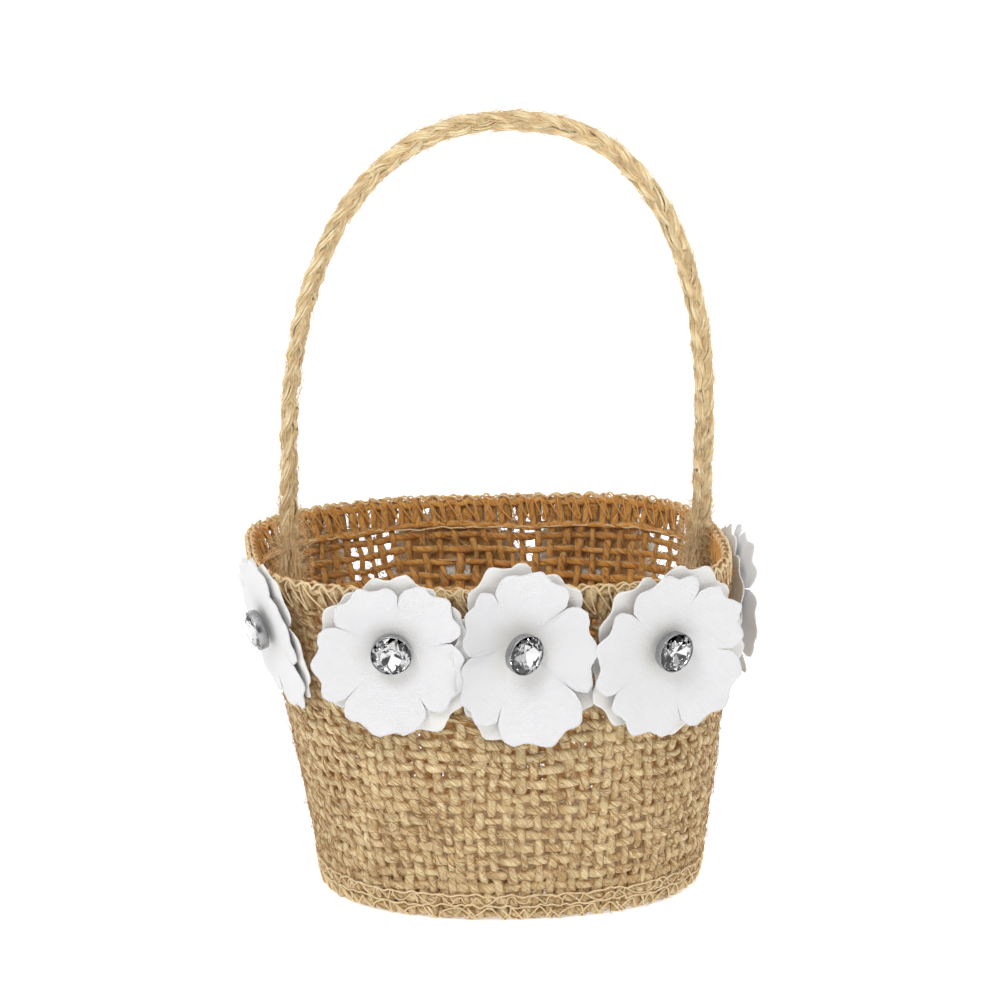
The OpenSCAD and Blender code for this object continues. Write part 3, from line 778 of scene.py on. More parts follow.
# %% Rim serging
FACE = 0.98                      # a thread on the face of the yarns lies this far from the middle
THREAD = 0.19                    # radius of the sewing thread
outer_looper = [
    (0.0, needle_z, FACE), (-0.20, needle_z + 3.0, FACE + 0.05), (-0.38, RIM_Z - 0.6, FACE),
    (-0.34, RIM_Z + 0.45, 0.4), (-0.10, RIM_Z + 0.6, 0.3), (0.08, RIM_Z - 0.3, FACE),
    (0.45, needle_z + 3.4, FACE + 0.1),
]
inner_looper = [(-s, z, -o - 0.42) for s, z, o in outer_looper]
edge_chain = [(0.0, RIM_Z - 0.7, 0.75), (0.25, RIM_Z + 0.35, 0.8), (0.5, RIM_Z + 0.9, 0.4),
              (0.75, RIM_Z + 0.3, 0.1)]
edge_chain_back = [(0.0, RIM_Z - 0.6, -1.2), (0.25, RIM_Z + 0.3, -1.2), (0.5, RIM_Z + 0.85, -0.6),
                   (0.75, RIM_Z + 0.3, -0.4)]
CHAIN = 0.27                     # two threads lie side by side where the loopers lock at the edge
rim = Skein()
# The last value of each thread is how much it takes of the painted inner shade.
for controls, radius, inside in ((outer_looper, 0.21, 0), (inner_looper[::-1], THREAD, 1),
                                 (edge_chain, CHAIN, 0.0), (edge_chain_back, CHAIN, 0.25)):
    sew(rim, stitched_thread(RIM_STITCHES, controls), radius, inside=inside)
rim.piece("rim_serging", SERGING, "thread", "rim_serging_thread")

wavy = [(0.0, needle_z - 0.9, -FACE - 0.05), (0.5, needle_z - 0.1, -FACE - 0.2)]
stitches = sew(Skein(), stitched_thread(RIM_STITCHES, wavy), 0.2)
stitches.piece("rim_needle_thread", SERGING, "thread", "rim_straight_stitches")

# %% Base serging
BASE_STITCHES = 72
low_line, high_line = 4.1, 6.6   # heights of its two rows of needle stitches
base_looper = [
    (0.0, low_line, FACE + 0.1), (0.35, 2.4, FACE + 0.2), (0.75, 0.7, FACE + 0.1),
    (0.8, 0.22, 0.2), (0.6, 0.2, -0.4), (0.5, 0.6, FACE), (0.75, 2.6, FACE + 0.15),
]
low_wave = [(0.0, low_line - 0.7, FACE + 0.1), (0.5, low_line + 0.6, FACE + 0.25)]
link_wave = [(0.0, low_line, FACE + 0.1), (0.3, high_line - 0.3, FACE + 0.05),
             (0.55, high_line, FACE + 0.05), (0.95, low_line + 0.8, FACE + 0.25)]
base_thread = Skein()
for controls, radius, stray in ((base_looper, THREAD, 0.55), (low_wave, THREAD, 0.3),
                                (link_wave, 0.15, 0.6)):
    path = stitched_thread(BASE_STITCHES, controls, (stray, 0.45, 0.08))
    path[:, 2] = np.maximum(path[:, 2], radius)      # it lies on the table, not in it
    sew(base_thread, path, radius)
base_thread.piece("base_serging", SERGING, "thread", "base_serging_thread")
high_wave = [(0.0, high_line - 0.6, FACE + 0.02), (0.5, high_line + 0.6, FACE + 0.15)]
base_needle = sew(Skein(), stitched_thread(BASE_STITCHES, high_wave, (0.35, 0.5, 0.05)), 0.2)
base_needle.piece("base_needle_thread", SERGING, "thread", "base_straight_stitches")

# %% [markdown]
# ## The base
# An oval of the same burlap closes the bag. Its edge is turned down inside the wall and
# caught by the serging. It lies under the card, so a plain disc would hardly show, but it
# is seen from below, so its yarns run both ways across it and bend down at its edge.

# %% Base cloth
BASE_HALF_T = 0.6                # half the thickness that the base cloth takes up
BASE_TOP = SERGE_H + 0.9 - BASE_HALF_T           # middle of the base cloth
SKIRT_IN = CLOTH_T + 0.12 + BASE_HALF_T          # how far its turned-down edge is inside the face
BASE_PITCH = 2.9


def base_yarn_lines(along_x, pitch, steps=150):
    """Yarns across the base in one direction. Each goes up the skirt, across and down again."""
    edge_points = outline(np.linspace(0, 2 * np.pi, 1441), 0.08, SKIRT_IN)
    first, second = (1, 0) if along_x else (0, 1)
    low, high = edge_points[:, first].min(), edge_points[:, first].max()
    count = int((high - low - 2.4) / pitch) + 1
    places = (low + high) / 2 + (np.arange(count) - (count - 1) / 2) * pitch
    middle = edge_points[:, second].mean()
    lines = []
    for k, place in enumerate(places):
        span = []
        for sign in (-1, 1):
            half = edge_points[(edge_points[:, second] - middle) * sign > 0]
            span.append(half[np.argmin(np.abs(half[:, first] - place)), second])
        flat = span[1] - span[0]
        drop = BASE_TOP - EDGE - 0.3
        walk = np.linspace(0, flat + 2 * drop, steps)
        across = np.clip(walk - drop, 0, flat)
        z = BASE_TOP - np.maximum(drop - walk, 0) - np.maximum(walk - drop - flat, 0)
        row = np.zeros((steps, 3))
        row[:, first] = place + 0.12 * wander(12, walk / 130)
        row[:, second] = span[0] + across
        sign = 1 if along_x else -1
        swing = 0.3 * sign * np.cos(np.pi * ((row[:, second] - middle) / pitch + k))
        row[:, 2] = z + swing * (across > 0) * (across < flat)
        lines.append(row)
    return np.array(lines)


base = Skein()
for along_x in (True, False):
    lines = base_yarn_lines(along_x, BASE_PITCH)
    for _ in range(2):                           # rounds the bend where a yarn turns down
        lines[:, 1:-1] = lines[:, :-2] * 0.25 + lines[:, 1:-1] * 0.5 + lines[:, 2:] * 0.25
    slub = wander(30, np.linspace(0, 1, lines.shape[1]), len(lines))
    nearly_up = np.broadcast_to([0.02, 0.01, 1.0], lines.shape)
    base.add(lines, 0.66 * (1 + 0.2 * slub), 0.36, deep=nearly_up, ridges=0.06)
base_cloth = base.piece("base_yarns", BURLAP, "base_burlap", "base_burlap")

# %% [markdown]
# ## The side seam
# The strip of wall cloth is joined inside, at the right. Its two cut ends are turned to one
# side and bound with thread. It could be left out of a view from the front, but it is there
# when one looks in, so it is a narrow ridge of a few yarns under loops of thread.

# %% Seam allowance and its thread
SEAM_BEARING = math.radians(17)
SEAM_WIDTH = 7.0
SEAM_SPREAD = SEAM_WIDTH / 2 / 52            # half of it, in radians, 52 mm from the bag's middle
SEAM_IN = 1.45                   # the ridge lies this far inside the middle of the wall
seam_turn = turn_at(SEAM_BEARING, 0.7)
seam_half = turn_at(SEAM_BEARING + SEAM_SPREAD, 0.7) - seam_turn
seam_low, seam_high = 11.0, WALL_H - SERGE_H - 1


def seam_flap():
    skein = Skein()
    z = np.linspace(seam_low, seam_high, 110)
    for k, share in enumerate(np.linspace(-0.85, 0.85, 4)):
        turn = seam_turn + seam_half * share + 0.0012 * wander(9, z / 90)
        swing = 0.16 * np.cos(np.pi * (z / YARN_PITCH + k))
        lines, facing = on_cloth(turn, z, swing - SEAM_IN)
        skein.add(lines, 0.62 * (1 + 0.2 * wander(20, z / 90)), 0.36, facing, ridges=0.07)
    for j, height in enumerate(np.arange(seam_low + 1, seam_high, YARN_PITCH)):
        share = np.linspace(-1.05, 1.05, 16)
        swing = -0.16 * np.cos(np.pi * (share * 2 + j))
        lines, facing = on_cloth(seam_turn + seam_half * share, height + 0.3 * share, swing - SEAM_IN)
        skein.add(lines, 0.55, 0.34, facing, ridges=0.07)
    return skein


seam = seam_flap().piece("seam_yarns", BURLAP, "wall_burlap", "side_seam_allowance")


def seam_loops(count=22):
    """Thread over the cut ends. A loop is six points: share across, rise in a step, way out."""
    rows = []
    for k in range(count):
        z = mix(seam_low + 1, seam_high - 1, k / count)
        step = (seam_high - seam_low - 2) / count
        for share, rise, out in ((-1.1, 0.0, -1.6), (-0.3, 0.5, -2.15), (0.8, 0.7, -2.1),
                                 (1.15, 0.35, -1.5), (0.6, 0.1, -2.1), (-0.4, 0.7, -2.2)):
            rows.append((seam_turn + seam_half * (share + rng.uniform(-0.12, 0.12)),
                         z + rise * step + rng.uniform(-0.3, 0.3), out))
    rows = np.array(rows)
    line = on_cloth(rows[:, 0], rows[:, 1], rows[:, 2])[0]
    n = len(line)
    x = np.linspace(1, n - 2.001, n * 4)
    i = np.floor(x).astype(int)
    f = (x - i)[:, None]
    smooth = spline_between(f, line[i - 1], line[i], line[i + 1], line[np.minimum(i + 2, n - 1)])
    return sew(Skein(), smooth, THREAD, closed=False)


seam_loops().piece("seam_thread", SERGING, "thread", "side_seam_thread")

# %% [markdown]
# ## The handle
# Three strands of jute are plaited flat. Seen from the front each strand swings from side to
# side, and twice as fast through the plait, which takes it over one neighbour and under the
# other. One tube a strand would look like plastic cord, so each is a bundle of loosely
# twisted slivers, with a wire inside the first.

# %% Centre line of the handle
HANDLE_HALF, HANDLE_TOP, LEG_TOP = 47.0, 172.8, 100.0
HANDLE_Y, HANDLE_LEAN = 4.0, 2.4
ARCH_SQUARE = 2.3
FOOT_Z, FOOT_LEN = 59.0, 20.0
PLAIT_START = FOOT_Z + FOOT_LEN + 0.3
PLAIT_W, PLAIT_T, PLAIT_PITCH = 1.45, 0.85, 18.0


def handle_line(spacing=0.7):
    leg = np.linspace(PLAIT_START, LEG_TOP, 60)
    left = np.stack([np.full(60, -HANDLE_HALF), np.full(60, HANDLE_Y), leg], -1)
    t = np.linspace(0, np.pi, 900)[1:-1]
    r = ((np.abs(np.cos(t)) / HANDLE_HALF) ** ARCH_SQUARE
         + (np.sin(t) / (HANDLE_TOP - LEG_TOP)) ** ARCH_SQUARE) ** (-1 / ARCH_SQUARE)
    arch = np.stack([-r * np.cos(t), np.full(len(t), HANDLE_Y), LEG_TOP + r * np.sin(t)], -1)
    line = np.concatenate([left, arch, left[::-1] * [-1, 1, 1]])
    rise = (line[:, 2] - PLAIT_START) / (HANDLE_TOP - PLAIT_START)
    line[:, 0] += HANDLE_LEAN * np.maximum(rise, 0) ** 1.5
    walked = np.concatenate([[0], np.cumsum(np.linalg.norm(np.diff(line, axis=0), axis=1))])
    even = np.linspace(0, walked[-1], int(walked[-1] / spacing))
    return np.stack([np.interp(even, walked, line[:, i]) for i in range(3)], -1), even


centre_line, walked = handle_line()
handle_ahead = unit(np.gradient(centre_line, axis=0))
handle_side = np.stack([handle_ahead[:, 2], 0 * walked, -handle_ahead[:, 0]], -1)
handle_face = np.broadcast_to([0.0, 1.0, 0.0], handle_side.shape)
LEG_TWIST = 0.8                  # radians that the left leg is twisted, which dies out above it
roll = LEG_TWIST * np.clip(walked / 12, 0, 1) * np.clip((100 - walked) / 55, 0, 1)
handle_side, handle_face = (
    handle_side * np.cos(roll)[:, None] + handle_face * np.sin(roll)[:, None],
    handle_face * np.cos(roll)[:, None] - handle_side * np.sin(roll)[:, None])
print(f"handle: {walked[-1]:.0f} mm of plait")


# %% Strands
SWING, DIP = 1.12, 0.68          # how far a strand's middle goes to the side and through the plait
SLIVER_RING, SLIVER = 0.72, 0.31     # slivers of this radius lie in a ring of that radius


def strand_centre(k):
    phase = 2 * np.pi * (walked / PLAIT_PITCH + k / 3) + 0.25 * wander(14, walked / 240)
    swing = np.tanh(1.3 * np.sin(phase)) / np.tanh(1.3)      # quick in the middle, slow at the sides
    return (centre_line + handle_side * (SWING * swing)[:, None]
            + handle_face * (DIP * np.sin(2 * phase))[:, None])


def strand(k, slivers=10):
    skein = Skein()
    line = strand_lines[k]
    ahead = unit(np.gradient(line, axis=0))
    face = unit(handle_face - ahead * (handle_face * ahead).sum(-1, keepdims=True))
    across = np.cross(face, ahead)
    if k:                                            # the first has the wire for a heart
        skein.add(line, 0.6, sides=6)
    for m in range(slivers):
        angle = 2 * np.pi * (m / slivers + walked / 34) + 0.7 * wander(22, walked / 240)
        ring = SLIVER_RING * (1 + 0.16 * wander(40, walked / 240))
        place = (line + across * (ring * 1.12 * np.cos(angle))[:, None]
                 + face * (ring * 0.85 * np.sin(angle))[:, None])
        thick = SLIVER * (1 + 0.25 * wander(60, walked / 240))
        skein.add(place, thick, sides=6, ridges=0.12, twist=0.7)
    return skein


strand_lines = [strand_centre(k) for k in range(3)]
for k in range(3):
    strand(k).piece(f"plait_strand_{k + 1}", JUTE, "jute", f"handle_strand_{k + 1}")


# %% Hairs of the handle
def handle_hairs(count, reach, lift):
    i = rng.integers(2, len(walked) - 2, count)
    angle = rng.uniform(0, 2 * np.pi, count)
    around = handle_side[i] * np.cos(angle)[:, None] + handle_face[i] * np.sin(angle)[:, None]
    size = np.stack([2.1 * np.cos(angle), 1.5 * np.sin(angle)], -1)
    starts = centre_line[i] + handle_side[i] * size[:, :1] + handle_face[i] * size[:, 1:]
    ways = (handle_ahead[i] * rng.choice([-1, 1], count)[:, None]
            + around * rng.uniform(-0.1, lift, count)[:, None])
    return curl_paths(starts, ways, rng.uniform(0.4, 1, count) * reach, 0.13)


hairs = Skein()
for count, reach, lift in ((3600, 8.0, 0.08), (500, 4.0, 0.7)):      # hairs that lie flat, and fuzz
    paths = handle_hairs(count, reach, lift)
    hairs.add(paths, taper(rng.uniform(0.035, 0.07, count)), sides=4)
hairs.piece("handle_fibres", FRAYED, "jute")


# %% Frayed feet
FOOT_SLIP = {-1: -0.9, 1: -1.0}  # how far each foot moves in x on its way down, as the wall does
FOOT_FUZZ = 1000


def frayed_foot(side, count=120):
    """The ends of the strands, combed out into loose slivers, against the inside of the wall."""
    top = foot_top(0 if side < 0 else -1)
    slip = FOOT_SLIP[side] - side * 1.0              # and it falls a little to the middle
    steps = 22
    skein = Skein()
    first = -rng.uniform(0.8, 6.5, count)[:, None]
    last = FOOT_LEN * rng.uniform(0.72, 1.04, count)[:, None]
    down = first + (last - first) * np.linspace(0, 1, steps)[None, :]
    angle = rng.uniform(0, 2 * np.pi, count)[:, None]
    ring = np.sqrt(rng.uniform(0.02, 1, count))[:, None]
    loose = np.clip(down / FOOT_LEN, 0, 1)
    x = top[0] + slip * down / FOOT_LEN + 1.3 * ring * np.cos(angle) * mix(1, 2.0, loose)
    y = top[1] + 2.2 * ring * np.sin(angle) * mix(1, 1.75, loose)
    share = np.linspace(0, 1, steps)
    x = x + 0.7 * wander(11, share * 0.9, count) * np.clip(down / 6, 0, 1)
    y = y + 0.8 * wander(11, share * 0.9, count) * np.clip(down / 6, 0, 1)
    lines = np.stack([x, y, FOOT_Z + FOOT_LEN - down + 0 * x], -1)
    radius = rng.uniform(0.07, 0.20, count)[:, None] * np.linspace(1, 0.5, steps)[None, :]
    skein.add(lines, radius, sides=6, ridges=0.1)
    n = FOOT_FUZZ
    starts = lines[rng.integers(0, count, n), rng.integers(0, steps, n)]
    ways = np.stack([0.8 * rng.normal(0, 1, n), rng.normal(0, 1, n), rng.normal(0, 1, n)], -1)
    paths = curl_paths(starts, ways, rng.uniform(2, 8, n), 0.45, 9)
    skein.add(paths, taper(rng.uniform(0.04, 0.08, n), 9), sides=4)
    return skein


def foot_top(index):
    """Where the first strand starts or ends, which is the top of a foot."""
    length = walked[index]
    phase = 2 * np.pi * length / PLAIT_PITCH
    return (centre_line[index] + handle_side[index] * PLAIT_W * np.sin(phase)
            + np.array([0, 1, 0]) * PLAIT_T * np.sin(2 * phase))


for side, name in ((-1, "left"), (1, "right")):
    frayed_foot(side).piece(f"frayed_foot_{name}", FRAYED, "jute", f"handle_frayed_foot_{name}")


# %% Stitches that hold the feet
def foot_stitches(side):
    top = foot_top(0 if side < 0 else -1)
    skein = Skein()
    for down in (8.0, 12.0, 16.0):
        cx, cz = top[0] + FOOT_SLIP[side] * down / FOOT_LEN, FOOT_Z + FOOT_LEN - down
        a = np.linspace(-np.pi * 0.5, np.pi * 0.5, 15)
        x = cx - side * (2.0 * np.cos(a)) + side * 0.6
        y = top[1] + 3.3 * np.sin(a)
        z = cz + 0.5 * np.sin(a) + 0.15 * np.cos(3 * a)
        sew(skein, np.stack([x, y, z], -1), 0.2, closed=False)
    return skein


for side, name in ((-1, "left"), (1, "right")):
    foot_stitches(side).piece(f"foot_thread_{name}", SERGING, "thread", f"handle_stitches_{name}")

# %% [markdown]
# ## The flowers
# Each flower is two layers of stiffened white cloth, die-cut into five petals and pressed so
# that they cup. The layers are turned against each other. Petals could be cut from a plane
# one by one. Here a whole layer is one thin closed sheet on a grid of rays and rings, as it
# is one piece of cloth, and the rays crowd together at the slits between its petals.

# %% Places of the flowers
COLUMNS = ("name", "bearing", "height", "length", "narrow", "spin", "lean")    # degrees and mm
FLOWERS = [dict(zip(COLUMNS, row)) for row in (
    ("front_left", 239.2, 66.2, 18.4, 0.08, 10, 4),
    ("front_middle", 270.6, 66.4, 21.4, 0.22, 40, 30),
    ("front_right", 309.2, 64.2, 20, 0.03, 66, 6),
    ("right_side", 7.6, 63.6, 18, 0.06, 20, 2),
    ("back_right", 56.3, 60.4, 17.2, 0.08, 52, 8),
    ("back_middle", 95.8, 60.8, 17.4, 0.1, 31, -5),
    ("back_left", 140, 60, 17.2, 0.1, 5, 6),
    ("left_side", 205, 66.8, 18, 0.06, 47, -6),
)]
PRESSED = {"front_left": 0.0}              # these petals are pressed down under a neighbour
TUCKED = {"front_middle": 0.2}             # and the neighbour is this much shorter on its left
STANDING = {"left_side": 0.1, "right_side": 1.5}    # how far petals stand off, against the rest
WRAPPED = {"left_side": 1.5}               # petals bent back round the corner of the bag
PETALS = 5
PETAL_T = 0.28                   # the cloth itself, in the 0.6 mm that the CAD layer holds
GLUE_T, LAYER_GAP, GAP = 1.0, 0.45, 0.12
LAYER_T = 0.6                    # room that a layer takes up in the CAD
LOWER_Z = GLUE_T + 2 * GAP
UPPER_Z = LOWER_Z + LAYER_T + LAYER_GAP
CUP_Z = UPPER_Z + LAYER_T + GAP
CUP_R, STONE_R = 4.5, 4.25


def flower_frame(flower):
    """Origin on the wall and three directions: right, up and outwards."""
    bearing, z = math.radians(flower["bearing"]), flower["height"]
    u = (z - EDGE) / WALL_H
    one = math.radians(1)
    here = outline(bearing, u)
    along = outline(bearing + one, u) - outline(bearing - one, u)
    rise = outline(bearing, u + 0.02) - outline(bearing, u - 0.02)
    out = unit(np.cross(along, rise))
    across = unit(np.array([-out[1], out[0], 0.0]))
    return here, across, np.cross(out, across), out


def in_flower(flower, points):
    here, across, rise, out = flower_frame(flower)
    return here + points[..., :1] * across + points[..., 1:2] * rise + points[..., 2:3] * out


print(len(FLOWERS), "places; layers", LOWER_Z, "and", round(UPPER_Z, 2), "mm off the wall")


# %% Outline and surface of a layer of petals
RINGS = 30                       # points from the middle of a layer to its edge
FLAT_TO = 4.2                    # the cup presses the cloth flat as far as this
PARTED = 0.42                    # the petals are one piece inside this share of the way out
TRAITS = (("size", 0.94, 1.05), ("lobes", 0, 1), ("tilt", 0.4, 0.9), ("cup", 0.6, 1.3))


def petal_rays(per_petal=46):
    """Angles as (petal number, place across the petal from -0.5 to 0.5), denser at the slits."""
    t = np.linspace(-1, 1, per_petal, endpoint=False)
    x = 0.5 * np.sign(t) * (1 - (1 - np.abs(t)) ** 1.9)
    petal = np.repeat(np.arange(PETALS), per_petal)
    return petal, np.tile(x, PETALS)


def petal_edge(flower, length, angle, x, to_slit, traits, local):
    """How far the cloth reaches: rounded, scalloped, ragged, and slit between two petals."""
    size = mix(traits["size"].mean(), traits["size"], np.clip(to_slit / 0.06, 0, 1))
    size = size * (1 - 0.09 * np.sin(angle))                 # longer where the petals hang down
    size = size * (1 - TUCKED.get(flower["name"], 0) * np.clip(-np.cos(angle), 0, 1))
    rounded = 0.035 * np.cos(2 * np.pi * x)
    scallop = 0.036 * np.cos(2 * np.pi * (3 * x + 0.15 * traits["lobes"])) * np.clip(to_slit * 6, 0, 1)
    notch = 0.11 * np.exp(-(to_slit / 0.055) ** 2)
    slit = 0.18 * np.exp(-(to_slit / 0.007) ** 2)
    ragged = 0.004 * local.normal(0, 1, len(x))
    return length * size * (0.97 + rounded + scallop - notch - slit + ragged)


def petal_stand(flower, rise, angle, x, away, traits, local):
    """How far the cloth stands off: its edge curls out, and each petal arches and folds."""
    tilt, cup, lobes = traits["tilt"], traits["cup"], traits["lobes"]
    rise = rise * STANDING.get(flower["name"], 1.0)
    loose = np.clip((away - PARTED) / (1 - PARTED), 0, 1.2) ** 1.5
    fold = (tilt * 0.6 * x * 2 * loose                      # one side over its neighbour
            - 0.28 * cup * (2 * x) ** 2 * loose            # the petal arches across
            + 0.30 * np.sin(2 * np.pi * (2.4 * x + lobes)) * loose
            + 0.35 * local.uniform(-1, 1) * np.sin(angle + 1) * away)
    curl = rise * away ** 1.5 - 0.9 * cup * np.clip(away - 0.72, 0, 1) ** 2 * 6
    stand = np.maximum(curl + fold * 0.8, -0.15)
    if flower["name"] in PRESSED:
        towards = np.cos(angle - PRESSED[flower["name"]])
        stand = stand * (1 - 0.85 * np.clip(1.6 * towards, 0, 1))
    return stand


def sheet_faces(rings, rays):
    """Quads of a thin closed sheet: upper face, lower face and the cut edge between them."""
    i, j = np.arange(rings - 1)[:, None], np.arange(rays)[None, :]
    k = (j + 1) % rays
    near, far = i * rays, (i + 1) * rays
    upper = np.stack([near + j, far + j, far + k, near + k], -1).reshape(-1, 4)
    below = rings * rays
    last = (rings - 1) * rays
    j, k = j[0], k[0]
    cut = np.stack([last + j, last + j + below, last + k + below, last + k], -1)
    return np.concatenate([upper, upper[:, ::-1] + below, cut])


def petal_layer(flower, length, spin, z0, rise, seed):
    """Points, faces and point values of a layer, with the area and width it was cut to."""
    local = np.random.default_rng(seed)
    petal, x = petal_rays()
    traits = {trait: local.uniform(low, high, PETALS)[petal] for trait, low, high in TRAITS}
    angle = np.radians(spin) + 2 * np.pi * (petal + x) / PETALS
    edge = petal_edge(flower, length, angle, x, 0.5 - np.abs(x), traits, local)
    share = np.linspace(0, 1, RINGS)[:, None] ** 0.8
    r = share * edge
    away = np.clip((r - FLAT_TO) / (length - FLAT_TO), 0, 1.2)
    stand = petal_stand(flower, rise, angle, x, away, traits, local)
    narrow = flower["narrow"]                    # it bends round the bag, so it looks narrower
    side = 1 - narrow * np.cos(angle) ** 2 * share
    bent = WRAPPED.get(flower["name"], 0) * (share * np.clip(-np.cos(angle), 0, 1)) ** 2
    z = z0 + stand + narrow * 9 * (share * np.cos(angle)) ** 2 - bent * (z0 / LOWER_Z) ** 0.4
    top = np.stack([r * np.cos(angle) * side, r * np.sin(angle), z + PETAL_T / 2], -1)
    low = top - [0, 0, PETAL_T]
    points = np.concatenate([top.reshape(-1, 3), low.reshape(-1, 3)])
    flat = np.stack([r * np.cos(angle), r * np.sin(angle), 0 * r + seed], -1).reshape(-1, 3)
    between = (np.roll(angle, -1) - angle) % (2 * np.pi)
    area = 0.5 * np.abs(np.sum(edge * np.roll(edge, -1) * np.sin(between)))
    bounce_tinted = 0 if flower["name"] in STANDING else 1         # painted bounce light: warm light thrown back from the jute onto what touches it
    on_wall = bounce_tinted * np.broadcast_to(np.clip((0.92 - share) / 0.15, 0, 1), r.shape).ravel()
    values = {"cloth_flat": np.concatenate([flat, flat]),
              "on_wall": np.concatenate([0 * on_wall, on_wall]),
              "to_edge": np.tile(np.broadcast_to(share, r.shape).ravel(), 2)}
    return points, sheet_faces(RINGS, len(x)), values, area, 2 * edge.max()


# %% [markdown]
# ## Petal cloth, glass and metal
# The petal cloth is a fine plain weave, bright but not shiny, with painted shade where it dips to the
# middle. The stones are clear glass in front of a silvered back, as paste stones are, so the light that
# enters comes back from many small mirrors.

# %% Node group: fine weave
def fine_weave_group():
    tree, given, result = group_of(
        "fine_weave",
        [("Yarn pitch in mm", NUMBER, 0.5), ("Unevenness", NUMBER, 0.4)],
        [("Height", NUMBER), ("Mottle", NUMBER)],
    )
    flat = put(tree, "ShaderNodeAttribute", attribute_name="cloth_flat").outputs["Vector"]
    parts = put(tree, "ShaderNodeSeparateXYZ", {0: flat})
    turns = maths(tree, "DIVIDE", 2 * math.pi, given.outputs["Yarn pitch in mm"])
    waves = [maths(tree, "SINE", maths(tree, "MULTIPLY", parts.outputs[i], turns)) for i in (0, 1)]
    weave = maths(tree, "MULTIPLY", waves[0], waves[1])
    mottle = put(tree, "ShaderNodeTexNoise", {
        "Vector": flat, "Scale": 0.9, "Detail": 4.0, "Roughness": 0.7}).outputs["Fac"]
    uneven = maths(tree, "MULTIPLY", mottle, given.outputs["Unevenness"])
    tree.links.new(maths(tree, "ADD", weave, uneven), result.inputs["Height"])
    tree.links.new(mottle, result.inputs["Mottle"])
    return tree


FINE_WEAVE = fine_weave_group()


def petal_material(name, colour, shade):
    material, shader, tree = make_material(
        name, Roughness=0.75, Specular_IOR_Level=0.25, Sheen_Weight=0.1, Subsurface_Weight=0.5,
        Subsurface_Radius=(0.0015, 0.0015, 0.0014))
    weave = put(tree, "ShaderNodeGroup", node_tree=FINE_WEAVE)
    # painted shade: near the middle, where the cloth dips to the stone, it is mixed towards the shade
    # colour
    depth = put(tree, "ShaderNodeAttribute", attribute_name="to_edge").outputs["Fac"]
    middle = put(tree, "ShaderNodeMapRange", {
        "Value": depth, "From Min": 0.25, "From Max": 0.5, "To Min": 0.30, "To Max": 0.0}).outputs[0]
    mottle = maths(tree, "MULTIPLY", weave.outputs["Mottle"], 0.18)
    clean = blend_colour(tree, maths(tree, "ADD", middle, mottle), colour, shade)
    # painted bounce light: the underside near the wall is mixed towards a warm, darker tan
    bounce_share = put(tree, "ShaderNodeAttribute", attribute_name="on_wall").outputs["Fac"]
    colour_out = blend_colour(tree, bounce_share, clean, rgb(206, 162, 104))
    relief = put(tree, "ShaderNodeBump", {
        "Height": weave.outputs["Height"], "Strength": 0.7, "Distance": 0.00008})
    tree.links.new(colour_out, shader.inputs["Base Color"])
    tree.links.new(relief.outputs[0], shader.inputs["Normal"])
    return material


# The lower layer is painted a little paler than the upper layer, to lift the shade it lies in under the
# upper layer.
UPPER_CLOTH = petal_material("petal_cloth_upper", rgb(222, 222, 225), rgb(208, 205, 190))
LOWER_CLOTH = petal_material("petal_cloth_lower", rgb(230, 229, 227), rgb(208, 202, 186))


# %% Stone and setting materials
def scratched(name, colour, metal, scale, low, high, bump, **sockets):
    """A plain finish whose roughness and relief change a little from spot to spot."""
    material, shader, tree = make_material(name, Base_Color=colour, Metallic=metal, **sockets)
    spot = put(tree, "ShaderNodeTexCoord").outputs["Object"]
    noise = put(tree, "ShaderNodeTexNoise", {"Vector": spot, "Scale": scale, "Detail": 4.0})
    grain = noise.outputs["Fac"]
    rough = put(tree, "ShaderNodeMapRange", {"Value": grain, "To Min": low, "To Max": high})
    tree.links.new(rough.outputs[0], shader.inputs["Roughness"])
    relief = put(tree, "ShaderNodeBump", {"Height": grain, "Strength": bump, "Distance": 0.00005})
    tree.links.new(relief.outputs[0], shader.inputs["Normal"])
    return material


GLASS, _, _ = make_material("stone_glass", Base_Color=(1, 1, 1, 1), Roughness=0.0, IOR=1.6,
                            Transmission_Weight=1.0)
FOIL, _, _ = make_material("stone_silvered_back", Base_Color=rgb(212, 212, 213), Metallic=1.0,
                           Roughness=0.03)
SILVER = scratched("silver_setting", rgb(160, 160, 162), 1.0, 900, 0.12, 0.4, 0.15)
print("petal, stone and silver materials made")


# %% Stone: a round brilliant
def ring_points(count, radius, z, shift=0.0):
    a = 2 * np.pi * (np.arange(count) + shift) / count
    return np.stack([radius * np.cos(a), radius * np.sin(a), np.full(count, z)], -1)


